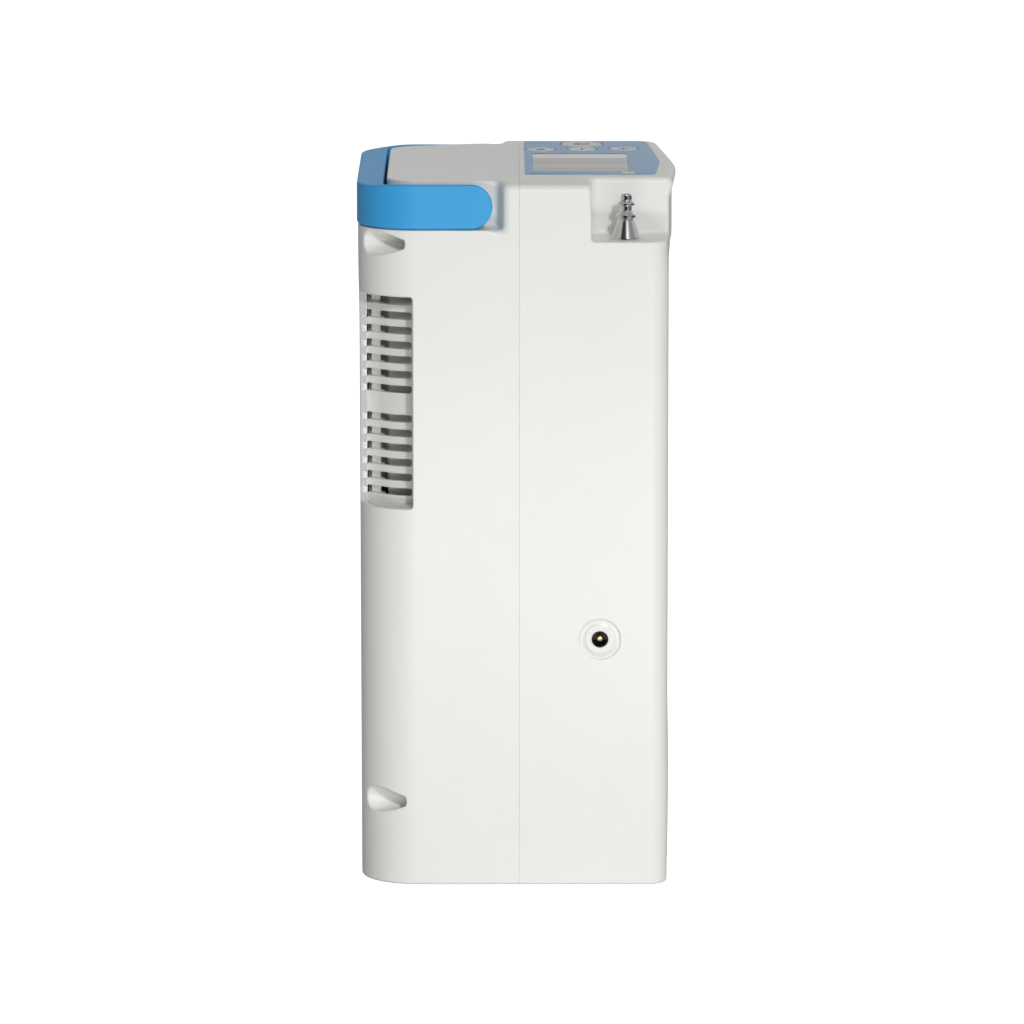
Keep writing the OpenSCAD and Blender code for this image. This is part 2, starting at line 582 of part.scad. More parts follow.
module air_hoses() color([0.25, 0.25, 0.27]) {
  tube(smooth([[-31, 32, 66.98], [-31, 31.6, 63.5], [-32.5, 28, 60.6], [-36.5, 20, 62], [-40, 12, 74], [-38.5, 4, 92], [-34, -1, 102],
    [-29, -3, 105], [-26.3, -3, 102.5], [-26, -3, 97.02]], 4), 2.6, [0.7, 0.2, 0.1], 10, [0, 0, -1], [0, 0, -1]);
  tube(smooth([[-14, -30, 97.02], [-13.8, -30, 101], [-9.5, -31.5, 105], [-4.5, -33.5, 101], [-3, -35, 90], [-3, -35.5, 72], [-1, -35, 63],
    [4, -34, 60], [9, -34.6, 57.5], [13.5, -40, 52], [20, -47, 43], [25.5, -52, 34], [26.6, -54, 26], [26.4, -52, 20.4], [26, -48, 19], [26, -44.02, 19]], 4), 2.6, [0.9, -0.1, 0.3], 10, [0, 0, 1], [0, 1, 0]);
}
module oxygen_hoses() color([0.85, 0.87, 0.88]) {
  tube(smooth([[31, 42.02, 184], [31, 45, 184], [31, 49, 180.5], [31, 49.4, 174], [31, 49.4, 167], [31, 49.4, 161.02]], 4), 2.6, [1, 0, 0.1], 10, [0, 1, 0], [0, 0, -1]);
  tube(smooth([[nz[0] - 15.02, nz[1], z_led - 12], [nz[0] - 18, nz[1], z_led - 12], [16, -53, 211], [13.6, -52, 206.5], [18, -51.6, 204], [25, -51.5, 206.5], [31, -51.5, 209], [35.2, -51.5, 207.5], [36, -51.5, 203.5], [36, -51.5, 200.02]], 4), 2.6, [0, 1, 0.1], 10, [-1, 0, 0], [0, 0, -1]);
}

module fan_frame() color([0.12, 0.12, 0.13]) translate(fan_c) {
  difference() {
    block([-20, -5, -20], [20, 5, 20]);
    rod_y(0, 0, 18.6, -6, 6);
    for (x = [-16.5, 16.5], z = [-16.5, 16.5]) rod_y(x, z, 1.6, -6, 6);
  }
  // hub, its stub shaft and four arms
  rod_y(0, 0, 8, 3.4, 5);
  rod_y(0, 0, 1.5, -2, 3.6);
  for (a = [45:90:315]) rotate([0, a, 0]) block([7, 3.6, -1.1], [19.2, 4.9, 1.1]);
}
module fan_rotor() color([0.2, 0.2, 0.22]) translate(fan_c) difference() {
  union() {
    rod_y(0, 0, 8, -4.4, 2.6);
    for (a = [0:360 / 7:359]) rotate([0, a, 0]) intersection() {
      translate([7.5, 0, 0]) rotate([38, 0, 0]) block([0, -4.2, -0.6], [10.4, 4.2, 0.6]);
      rod_y(0, 0, 18, -2.7, 2.9);
    }
  }
  rod_y(0, 0, 1.55, -2.6, 4);
}
module main_board() color([0.08, 0.38, 0.2]) difference() {
  block([-40, -42, 216], [2, 42, 217.6]);
  for (x = [-36], y = [-38, 38]) rod_z(x, y, 1.6, 210, 220);
}
module board_components() color([0.1, 0.1, 0.1]) {
  block([-30, -12, 217.6], [-16, 2, 219.4]);
  block([-30, 10, 217.6], [-22, 22, 221]);
  for (y = [-34, -26]) rod_z(-28, y, 3.5, 217.6, 225);
  block([-10, -30, 217.6], [-2, -14, 222]);
  block([-9, 16, 217.6], [-3, 30, 220]);
  for (i = [0:5]) block([-36, -6 + i * 3, 217.6], [-34, -4.6 + i * 3, 218.3]);
}
module alarm_buzzer() color([0.12, 0.12, 0.12]) difference() {
  rod_z(-18, 33.5, 6, 217.6, 224);
  rod_z(-18, 33.5, 1.2, 222, 226);
}

bat_a = [-43.6, -43, 114];
bat_b = [-3.6, 43, 212];
module battery_pack() color([0.85, 0.85, 0.82]) difference() {
  block(bat_a, bat_b);
  block(bat_a + [1.6, 1.6, 1.6], bat_b - [1.6, 1.6, 1.6]);
}
module battery_label() color([0.75, 0.75, 0.72]) block([bat_a[0] + 0.4, -43.2, 130], [bat_b[0] - 4, -43, 209]);
module battery_cells() color([0.2, 0.45, 0.35]) for (i = [0:3], x = [-32.8, -14.4]) {
  rod_z(x, -30 + i * 20, 9.1, 117, 182);
  rod_z(x, -30 + i * 20, 3, 182, 183);
}
module wiring_harness() color([0.7, 0.1, 0.1]) {
  // battery to board, jack to board, fan to board
  tube(smooth([[-24, 26, 212.02], [-24, 26, 213], [-23, 26.3, 214], [-20, 27, 214.5], [-17, 27.7, 214.5], [-15.2, 28, 215.2], [-15, 28, 215.98]], 3), 0.8, [0.3, 1, 0], 8, [0, 0, 1], [0, 0, 1]);
  tube(smooth([[jk_x, -W2 + 17.02, jack_z], [jk_x, -W2 + 19.5, jack_z], [26, -41.2, 88], [16, -42.6, 94], [10, -46, 108], [9.4, -48.5, 140], [3.5, -48.6, 170],
    [0, -46, 205], [-3, -41, 212.4], [-5, -38, 213.6], [-5.6, -37, 215.98]], 4), 0.8, [0.2, 1, 0.1], 8, [0, 1, 0], [0, 0, 1]);
  tube(smooth([[-17, 46.6, 84], [-12, 47.5, 90], [-2, 49, 104], [0, 49.5, 150], [0, 47, 205], [-3, 41, 212.4], [-5, 38, 213.6], [-5.6, 37, 215.98]], 4), 0.8, [0.2, 1, 0.1], 8, [0, 0, 1], [0, 0, 1]);
}

front_shell();
rear_shell();
rear_grille();
case_screws();
rubber_feet();
carry_handle();
handle_pivot_pins();
handle_pin_clips();
control_overlay();
lcd_window();
lcd_module();
power_button();
flow_up_button();
flow_down_button();
mute_button();
button_domes();
keypad_board();
status_light();
display_ribbon_cable();
outlet_nozzle();
outlet_nut();
outlet_o_ring();
outlet_elbow();
dc_jack_bezel();
dc_jack_body();
dc_jack_pin();
dc_jack_spring();
chassis_frame();
compressor_mounts();
compressor_crankcase();
compressor_cylinders();
cylinder_head();
piston_a();
piston_b();
motor_housing();
motor_stator();
crankshaft_rotor();
crankshaft_bearings();
sieve_bed_a();
sieve_bed_b();
sieve_bottom_manifold();
sieve_top_manifold();
solenoid_valves();
product_tank();
demand_valve();
oxygen_sensor();
intake_filter();
exhaust_silencer();
air_hoses();
oxygen_hoses();
fan_frame();
fan_rotor();
main_board();
board_components();
alarm_buzzer();
battery_pack();
battery_cells();
battery_label();
wiring_harness();
chassis_screws();
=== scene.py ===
import json
import math

import bmesh
import bpy
import numpy as np
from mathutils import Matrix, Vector


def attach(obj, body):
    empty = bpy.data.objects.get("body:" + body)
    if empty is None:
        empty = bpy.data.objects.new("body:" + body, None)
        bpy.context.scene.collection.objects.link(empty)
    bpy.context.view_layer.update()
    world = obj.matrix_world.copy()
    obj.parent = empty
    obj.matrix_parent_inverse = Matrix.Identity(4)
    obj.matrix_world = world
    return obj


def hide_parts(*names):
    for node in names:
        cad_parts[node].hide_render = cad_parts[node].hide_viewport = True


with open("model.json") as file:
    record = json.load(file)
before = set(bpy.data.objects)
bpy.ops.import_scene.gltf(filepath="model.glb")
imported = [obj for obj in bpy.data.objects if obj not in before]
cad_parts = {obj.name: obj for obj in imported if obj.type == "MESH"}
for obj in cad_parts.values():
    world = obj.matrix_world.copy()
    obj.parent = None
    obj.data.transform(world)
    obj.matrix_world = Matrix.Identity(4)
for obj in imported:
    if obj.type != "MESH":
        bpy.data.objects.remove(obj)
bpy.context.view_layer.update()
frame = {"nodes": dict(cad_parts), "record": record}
MM = 0.001
scene = bpy.context.scene

# ------------------------------------------------------------------ camera
# The near side is 2.59 m away, so upright edges stay nearly upright. The camera looks down by 9.8 degrees and its lens isn't shifted.
cam_data = bpy.data.cameras.new("camera")
cam_data.sensor_width = 36.0
cam_data.lens = 267.07
cam_data.clip_start = 0.05
cam_data.clip_end = 60.0
cam = bpy.data.objects.new("camera", cam_data)
scene.collection.objects.link(cam)
cam.location = (-0.00442, -2.64982, 0.57912)
cam.rotation_euler = (math.pi / 2 - 0.17115, 0.0, -0.00149)
scene.camera = cam
scene.view_settings.view_transform = "Standard"
scene.view_settings.look = "None"


# ------------------------------------------------------------------ materials
class Nodes:
    """A small builder of node trees."""

    def __init__(self, name):
        self.mat = bpy.data.materials.new(name)
        self.mat.use_nodes = True
        self.t = self.mat.node_tree
        self.p = self.t.nodes["Principled BSDF"]
        self.c = self.t.nodes.new("ShaderNodeTexCoord").outputs["Object"]

    def new(self, kind, **sets):
        n = self.t.nodes.new(kind)
        for k, v in sets.items():
            setattr(n, k, v)
        return n

    def link(self, a, b):
        self.t.links.new(a, b)

    def noise(self, scale, detail=3.0, rough=0.55, stretch=None, seed=0.0):
        n = self.new("ShaderNodeTexNoise")
        n.inputs["Scale"].default_value = scale
        n.inputs["Detail"].default_value = detail
        n.inputs["Roughness"].default_value = rough
        m = self.new("ShaderNodeMapping")
        m.inputs["Location"].default_value = (seed, seed * 0.37, seed * 0.61)
        if stretch:
            m.inputs["Scale"].default_value = stretch
        self.link(self.c, m.inputs["Vector"])
        self.link(m.outputs["Vector"], n.inputs["Vector"])
        return n.outputs["Fac"]

    def ramp(self, fac, stops):
        n = self.new("ShaderNodeValToRGB")
        e = n.color_ramp.elements
        while len(e) < len(stops):
            e.new(0.5)
        for el, (pos, col) in zip(e, stops):
            el.position = pos
            el.color = (*col, 1.0) if len(col) == 3 else col
        self.link(fac, n.inputs["Fac"])
        return n.outputs["Color"]

    def span(self, fac, lo, hi):
        n = self.new("ShaderNodeMapRange")
        n.inputs["From Min"].default_value = 0.25
        n.inputs["From Max"].default_value = 0.75
        n.inputs["To Min"].default_value = lo
        n.inputs["To Max"].default_value = hi
        self.link(fac, n.inputs["Value"])
        return n.outputs["Result"]

    def unit(self, v, lo, hi):
        """0 at lo, 1 at hi."""
        n = self.new("ShaderNodeMapRange")
        n.inputs["From Min"].default_value = lo
        n.inputs["From Max"].default_value = hi
        self.link(v, n.inputs["Value"])
        return n.outputs["Result"]

    def bump(self, height, strength, distance, onto=None):
        n = self.new("ShaderNodeBump")
        n.inputs["Strength"].default_value = strength
        n.inputs["Distance"].default_value = distance
        self.link(height, n.inputs["Height"])
        if onto is not None:
            self.link(onto, n.inputs["Normal"])
        self.link(n.outputs["Normal"], self.p.inputs["Normal"])
        return n.outputs["Normal"]

    def mix(self, fac, a, b, mode="MIX"):
        n = self.new("ShaderNodeMix", data_type="RGBA", blend_type=mode)
        for sock, v in ((n.inputs[0], fac), (n.inputs[6], a), (n.inputs[7], b)):
            if isinstance(v, bpy.types.NodeSocket):
                self.link(v, sock)
            elif isinstance(v, (int, float)):
                sock.default_value = v
            else:
                sock.default_value = (*v, 1.0)
        return n.outputs[2]

    def math(self, op, a, b=None, clamp=False):
        n = self.new("ShaderNodeMath", operation=op, use_clamp=clamp)
        for sock, v in ((n.inputs[0], a), (n.inputs[1], b)):
            if v is None:
                continue
            if isinstance(v, bpy.types.NodeSocket):
                self.link(v, sock)
            else:
                sock.default_value = v
        return n.outputs[0]

    def xyz(self):
        n = self.new("ShaderNodeSeparateXYZ")
        self.link(self.c, n.inputs[0])
        return n.outputs[0], n.outputs[1], n.outputs[2]

    def inside(self, v, lo, hi, soft=0.00004):
        """1 where v lies between lo and hi, with a thin soft edge."""
        a = self.new("ShaderNodeMapRange", interpolation_type="SMOOTHSTEP")
        a.inputs["From Min"].default_value = lo - soft
        a.inputs["From Max"].default_value = lo + soft
        self.link(v, a.inputs["Value"])
        b = self.new("ShaderNodeMapRange", interpolation_type="SMOOTHSTEP")
        b.inputs["From Min"].default_value = hi + soft
        b.inputs["From Max"].default_value = hi - soft
        self.link(v, b.inputs["Value"])
        return self.math("MULTIPLY", a.outputs["Result"], b.outputs["Result"])


def shade(name, color, rough, metal=0.0, tint=0.04, grain=900.0, bump=0.08, depth=0.00004,
          patches=35.0, rough_by=0.05, stretch=None, ior=1.5, coat=0.0, **more):
    """A moulded, painted or metal finish: slow colour patches, uneven gloss and a fine grain."""
    n = Nodes(name)
    slow = n.noise(patches, 4.0, seed=1.3)
    fine = n.noise(grain, 3.0, seed=4.1, stretch=stretch)
    lo = tuple(max(0.0, c * (1.0 - tint)) for c in color)
    hi = tuple(min(1.0, c * (1.0 + tint)) for c in color)
    n.link(n.ramp(slow, [(0.3, lo), (0.7, hi)]), n.p.inputs["Base Color"])
    n.link(n.span(n.noise(grain * 0.35, 2.0, seed=7.7, stretch=stretch), max(0.02, rough - rough_by), rough + rough_by),
           n.p.inputs["Roughness"])
    n.p.inputs["Metallic"].default_value = metal
    n.p.inputs["IOR"].default_value = ior
    if coat:
        n.p.inputs["Coat Weight"].default_value = coat
        n.p.inputs["Coat Roughness"].default_value = 0.08
    if bump:
        n.bump(fine, bump, depth)
    for k, v in more.items():
        n.p.inputs[k].default_value = v
    return n


MATS = {}


def keep(slot, n):
    MATS[slot] = n.mat
    return n


# casing plastics: a very fine spark-eroded texture under a satin gloss
keep("white_casing", shade("white_casing", (0.865, 0.865, 0.834), 0.36, tint=0.012, grain=2600, bump=0.10, depth=0.00003,
                           patches=18, rough_by=0.035))
keep("white_louvre", shade("white_louvre", (0.80, 0.80, 0.77), 0.40, tint=0.015, grain=2600, bump=0.12, depth=0.00003,
                           patches=25, rough_by=0.04))
keep("white_bezel", shade("white_bezel", (0.84, 0.84, 0.82), 0.28, tint=0.01, grain=2400, bump=0.05, depth=0.00002, patches=60))
keep("blue_handle", shade("blue_handle", (0.036, 0.385, 0.79), 0.46, tint=0.02, grain=2200, bump=0.05, depth=0.00002,
                          patches=30, rough_by=0.03))

# printed film over the control deck: flat blue, fine matt texture
n = keep("blue_overlay", shade("blue_overlay", (0.135, 0.36, 0.60), 0.34, tint=0.03, grain=3200, bump=0.10, depth=0.00003,
                               patches=40, rough_by=0.05))

n = keep("pale_button", shade("pale_button", (0.74, 0.755, 0.755), 0.42, tint=0.015, grain=2600, bump=0.12, depth=0.00003,
                              patches=60))
keep("icon_print", shade("icon_print", (0.06, 0.16, 0.30), 0.45, tint=0.05, grain=3000, bump=0.05))
keep("dome_silicone", shade("dome_silicone", (0.6, 0.6, 0.55), 0.6, tint=0.05, grain=1500))
keep("amber_lens", shade("amber_lens", (0.72, 0.60, 0.16), 0.22, tint=0.08, grain=1800, bump=0.04, patches=300, coat=0.4))
keep("black_rubber", shade("black_rubber", (0.018, 0.018, 0.019), 0.62, tint=0.2, grain=1400, bump=0.25, depth=0.00006))
keep("black_plastic", shade("black_plastic", (0.014, 0.014, 0.015), 0.38, tint=0.2, grain=1600, bump=0.12))
keep("grey_frame", shade("grey_frame", (0.11, 0.12, 0.135), 0.5, tint=0.1, grain=1100, bump=0.18, depth=0.00006))
keep("battery_case", shade("battery_case", (0.55, 0.53, 0.48), 0.45, tint=0.05, grain=1500, bump=0.12))
keep("dark_steel", shade("dark_steel", (0.06, 0.06, 0.065), 0.36, metal=0.8, tint=0.15, grain=900, bump=0.08))
keep("clear_hose", shade("clear_hose", (0.66, 0.69, 0.70), 0.25, tint=0.04, grain=900, bump=0.05, coat=0.3))
keep("dark_hose", shade("dark_hose", (0.045, 0.045, 0.05), 0.5, tint=0.15, grain=1200, bump=0.15))
keep("wire_sleeve", shade("wire_sleeve", (0.36, 0.02, 0.02), 0.38, tint=0.12, grain=1500, bump=0.06))
keep("gold_contact", shade("gold_contact", (0.96, 0.68, 0.24), 0.26, metal=1.0, tint=0.06, grain=1800, bump=0.05,
                           rough_by=0.05, patches=400))
keep("chrome_outlet", shade("chrome_outlet", (0.80, 0.81, 0.83), 0.055, metal=1.0, tint=0.02, grain=1500, bump=0.02,
                            depth=0.00001, rough_by=0.02, patches=200))
# lathe and brush marks run round or along the piece
keep("zinc_steel", shade("zinc_steel", (0.60, 0.61, 0.63), 0.27, metal=1.0, tint=0.08, grain=900, bump=0.12,
                         stretch=(1.0, 1.0, 9.0), rough_by=0.08))
keep("cast_aluminium", shade("cast_aluminium", (0.60, 0.61, 0.62), 0.42, metal=1.0, tint=0.08, grain=1300, bump=0.30,
                             depth=0.00006, rough_by=0.09))
keep("piston_alloy", shade("piston_alloy", (0.66, 0.66, 0.65), 0.28, metal=1.0, tint=0.05, grain=700, bump=0.15,
                           stretch=(1.0, 1.0, 12.0)))

# circuit board: solder mask over faint copper tracks
n = keep("green_board", shade("green_board", (0.02, 0.15, 0.06), 0.3, tint=0.1, grain=1500, bump=0.05, coat=0.3))
br = n.new("ShaderNodeTexBrick")
br.inputs["Scale"].default_value = 120.0
br.inputs["Mortar Size"].default_value = 0.03
br.inputs["Color1"].default_value = (0.020, 0.150, 0.060, 1)
br.inputs["Color2"].default_value = (0.024, 0.170, 0.066, 1)
br.inputs["Mortar"].default_value = (0.060, 0.300, 0.120, 1)
n.link(n.c, br.inputs["Vector"])
n.link(br.outputs["Color"], n.p.inputs["Base Color"])

# enamelled copper turns
n = keep("copper_winding", shade("copper_winding", (0.62, 0.27, 0.10), 0.3, metal=0.9, tint=0.1, grain=900))
w = n.new("ShaderNodeTexWave", wave_type="BANDS", bands_direction="Y")
w.inputs["Scale"].default_value = 500.0
w.inputs["Distortion"].default_value = 0.8
n.link(n.c, w.inputs["Vector"])
n.bump(w.outputs["Fac"], 0.7, 0.0002)

# pleated filter paper
n = keep("filter_media", shade("filter_media", (0.62, 0.56, 0.42), 0.85, tint=0.08, grain=2500, bump=0.3))
w = n.new("ShaderNodeTexWave", wave_type="BANDS", bands_direction="X")
w.inputs["Scale"].default_value = 260.0
n.link(n.c, w.inputs["Vector"])
n.bump(w.outputs["Fac"], 0.8, 0.0005)

# flat cable: parallel conductors
n = keep("ribbon_film", shade("ribbon_film", (0.62, 0.56, 0.42), 0.35, tint=0.05, grain=1500))
x, y, z = n.xyz()
st = n.math("GREATER_THAN", n.math("SINE", n.math("MULTIPLY", x, 6283.0)), 0.1)
n.link(n.mix(st, (0.62, 0.57, 0.45), (0.72, 0.45, 0.16)), n.p.inputs["Base Color"])

# shrink sleeve on the cells, with a seam line
n = keep("cell_wrap", shade("cell_wrap", (0.03, 0.17, 0.12), 0.22, tint=0.1, grain=700, bump=0.15, coat=0.4))
x, y, z = n.xyz()
n.link(n.mix(n.inside(z, 0.1765, 0.1785), (0.03, 0.17, 0.12), (0.55, 0.56, 0.56)), n.p.inputs["Base Color"])

# plain film label on the battery: bare field inside a darker border
n = keep("plain_label", shade("plain_label", (0.74, 0.71, 0.64), 0.42, tint=0.05, grain=1500, bump=0.05))
x, y, z = n.xyz()
field = n.math("MULTIPLY", n.inside(x, -0.0430, -0.0079, 0.0002), n.inside(z, 0.1325, 0.2065, 0.0002))
slow = n.ramp(n.noise(60.0, 3.0, seed=2.0), [(0.3, (0.72, 0.69, 0.61)), (0.7, (0.78, 0.75, 0.68))])
n.link(n.mix(field, (0.30, 0.30, 0.29), slow), n.p.inputs["Base Color"])

# clear window: thin, with its gloss from the angle of view
n = Nodes("display_lens")
for link in list(n.t.links):
    n.t.links.remove(link)
out = n.t.nodes["Material Output"]
tr = n.new("ShaderNodeBsdfTransparent")
tr.inputs["Color"].default_value = (0.93, 0.95, 0.94, 1)
n.p.inputs["Base Color"].default_value = (0.9, 0.93, 0.92, 1)
n.p.inputs["IOR"].default_value = 1.45
gl = n.new("ShaderNodeBsdfGlossy")
gl.inputs["Color"].default_value = (0.9, 0.9, 0.9, 1)
gc = n.new("ShaderNodeTexCoord").outputs["Object"]
nz = n.new("ShaderNodeTexNoise")
nz.inputs["Scale"].default_value = 500.0
n.link(gc, nz.inputs["Vector"])
mr = n.new("ShaderNodeMapRange")
mr.inputs["To Min"].default_value = 0.05
mr.inputs["To Max"].default_value = 0.12
n.link(nz.outputs["Fac"], mr.inputs["Value"])
n.link(mr.outputs["Result"], gl.inputs["Roughness"])
fr = n.new("ShaderNodeFresnel")
fr.inputs["IOR"].default_value = 1.45
mx = n.new("ShaderNodeMixShader")
n.link(fr.outputs["Fac"], mx.inputs["Fac"])
_, y, _ = n.xyz()
field = n.ramp(n.unit(y, -0.028, 0.024), [(0.0, (0.26, 0.26, 0.25)), (0.07, (0.24, 0.24, 0.23)), (0.10, (0.10, 0.10, 0.095)), (0.17, (0.10, 0.10, 0.095)),
                                           (0.21, (0.27, 0.27, 0.26)), (0.37, (0.27, 0.27, 0.26)), (0.44, (0.09, 0.09, 0.085)), (0.68, (0.11, 0.11, 0.105)),
                                           (0.79, (0.62, 0.62, 0.60)), (1.0, (0.64, 0.64, 0.62))])
fd = n.new("ShaderNodeBsdfDiffuse")
n.link(field, fd.inputs["Color"])
lw = n.new("ShaderNodeLayerWeight")
lw.inputs["Blend"].default_value = 0.5
lm = n.new("ShaderNodeMixShader")
n.link(n.unit(lw.outputs["Facing"], 0.55, 0.85), lm.inputs["Fac"])
n.link(tr.outputs["BSDF"], lm.inputs[1])
n.link(fd.outputs["BSDF"], lm.inputs[2])
n.link(lm.outputs["Shader"], mx.inputs[1])
n.link(gl.outputs["BSDF"], mx.inputs[2])
n.link(mx.outputs["Shader"], out.inputs["Surface"])
MATS["display_lens"] = n.mat

# liquid crystal panel: pale field, two darker display rows and the faint marks of idle segments
n = keep("display_panel", shade("display_panel", (0.42, 0.43, 0.38), 0.32, tint=0.02, grain=2200, bump=0.03))
x, y, z = n.xyz()
row_a = n.inside(y, -0.0018, 0.0121, 0.0003)
row_b = n.inside(y, -0.0262, -0.0129, 0.0003)
cols = n.inside(x, 0.0082, 0.0392, 0.0002)
rows = n.math("MULTIPLY", n.math("ADD", row_a, row_b), cols)
base = n.mix(rows, (0.52, 0.525, 0.48), (0.335, 0.34, 0.31))
n.link(base, n.p.inputs["Base Color"])
keep("segment_ink", shade("segment_ink", (0.16, 0.165, 0.15), 0.4, tint=0.05, grain=2000, bump=0.02))


# ------------------------------------------------------------------ mesh helpers
def finish_object(name, mesh, slot, body="casing", cad=()):
    ob = bpy.data.objects.new(name, mesh)
    scene.collection.objects.link(ob)
    mesh.materials.append(MATS[slot])
    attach(ob, body)
    if cad:
        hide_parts(*cad)
    return ob


def lines(lo, hi, base, zones):
    """Grid lines from lo to hi, base apart, and closer inside each zone (a, b, step)."""
    cuts = sorted({lo, hi, *[min(max(v, lo), hi) for a, b, _ in zones for v in (a, b)]})
    out = [lo]
    for a, b in zip(cuts, cuts[1:]):
        if b - a < 1e-9:
            continue
        mid = (a + b) / 2
        step = min([s for p, q, s in zones if p <= mid <= q] + [base])
        out.extend(np.linspace(a, b, max(1, math.ceil((b - a) / step - 1e-6)) + 1)[1:])
    return np.array(out)


def gradient(f, p, h=0.01):
    g = np.empty_like(p)
    for a in range(3):
        d = np.zeros(3)
        d[a] = h
        q, r = p + d, p - d
        g[:, a] = (f(q[:, 0], q[:, 1], q[:, 2]) - f(r[:, 0], r[:, 1], r[:, 2])) / (2 * h)
    return g


def solid(name, f, X, Y, Z, slot, body="casing", cad=(), flat=0.12):
    """A closed mesh of the surface f = 0, inside where f < 0, in millimetres, on the grid lines given."""
    V = np.asarray(f(X[:, None, None], Y[None, :, None], Z[None, None, :]), float)
    V = np.ascontiguousarray(np.broadcast_to(V, (len(X), len(Y), len(Z))))
    # nothing reaches the grid's own limits
    neg = V < 0
    assert not (neg[0].any() or neg[-1].any() or neg[:, 0].any() or neg[:, -1].any() or neg[:, :, 0].any() or neg[:, :, -1].any()), name
    axes = (X, Y, Z)
    shape = np.array(V.shape)
    cell = lambda i, j, k: (i * shape[1] + j) * shape[2] + k
    ids, pts, quads = [], [], []
    for a in range(3):
        lo = [slice(None)] * 3
        hi = [slice(None)] * 3
        lo[a], hi[a] = slice(None, -1), slice(1, None)
        v0, v1 = V[tuple(lo)], V[tuple(hi)]
        idx = np.argwhere((v0 < 0) != (v1 < 0))
        w0, w1 = v0[tuple(idx.T)], v1[tuple(idx.T)]
        t = w0 / (w0 - w1)
        p = np.stack([axes[b][idx[:, b]] for b in range(3)], 1)
        p[:, a] += t * (axes[a][idx[:, a] + 1] - axes[a][idx[:, a]])
        b, c = (a + 1) % 3, (a + 2) % 3
        four = []
        for db, dc in ((-1, -1), (0, -1), (0, 0), (-1, 0)):
            e = idx.copy()
            e[:, b] += db
            e[:, c] += dc
            four.append(cell(e[:, 0], e[:, 1], e[:, 2]))
            ids.append(four[-1])
            pts.append(p)
        q = np.stack(four, 1)
        back = w0 >= 0
        q[back] = q[back][:, ::-1]
        quads.append(q)
    ids, pts, quads = np.concatenate(ids), np.concatenate(pts), np.concatenate(quads)
    uniq, inv = np.unique(ids, return_inverse=True)
    count = np.bincount(inv)
    P = np.stack([np.bincount(inv, pts[:, a]) / count for a in range(3)], 1)
    F = np.searchsorted(uniq, quads)
    for _ in range(4):
        g = gradient(f, P)
        d = f(P[:, 0], P[:, 1], P[:, 2])[:, None] * g / np.maximum((g * g).sum(1, keepdims=True), 0.05)
        size = np.linalg.norm(d, axis=1, keepdims=True)
        P = P - d * np.minimum(1.0, 0.4 / np.maximum(size, 1e-9))
    me = bpy.data.meshes.new(name)
    me.vertices.add(len(P))
    me.vertices.foreach_set("co", (P * MM).ravel())
    me.loops.add(F.size)
    me.loops.foreach_set("vertex_index", F.ravel().astype(np.int32))
    me.polygons.add(len(F))
    me.polygons.foreach_set("loop_start", np.arange(0, F.size, 4, dtype=np.int32))
    me.polygons.foreach_set("loop_total", np.full(len(F), 4, np.int32))
    me.update(calc_edges=True)
    bm = bmesh.new()
    bm.from_mesh(me)
    bmesh.ops.remove_doubles(bm, verts=bm.verts, dist=0.000004)
    bmesh.ops.dissolve_degenerate(bm, dist=0.000004, edges=bm.edges)
    bmesh.ops.dissolve_limit(bm, angle_limit=math.radians(flat), use_dissolve_boundaries=False, verts=bm.verts, edges=bm.edges)
    bmesh.ops.triangulate(bm, faces=[x for x in bm.faces if len(x.verts) > 4], quad_method="BEAUTY", ngon_method="BEAUTY")
    bm.to_mesh(me)
    bm.free()
    me.polygons.foreach_set("use_smooth", np.ones(len(me.polygons), bool))
    co = np.empty(len(me.vertices) * 3)
    me.vertices.foreach_get("co", co)
    g = gradient(f, co.reshape(-1, 3) / MM)
    g /= np.maximum(np.linalg.norm(g, axis=1, keepdims=True), 1e-9)
    me.normals_split_custom_set_from_vertices(g.tolist())
    me.update()
    print(f"{name}: {len(F)} cells' faces, {len(me.polygons)} kept")
    return finish_object(name, me, slot, body, cad)


def rmax(a, b, r):
    """Both a and b: their common edge is rounded by r."""
    return np.minimum(np.maximum(a, b), -r) + np.hypot(np.maximum(a + r, 0), np.maximum(b + r, 0))


def rmin(a, b, r):
    """Either a or b: the corner between them is filled by r."""
    return np.maximum(np.minimum(a, b), r) - np.hypot(np.maximum(r - a, 0), np.maximum(r - b, 0))


def cut(a, b, r):
    return rmax(a, -b, r)


def ramp01(t):
    t = np.clip(t, 0.0, 1.0)
    return t * t * (3 - 2 * t)


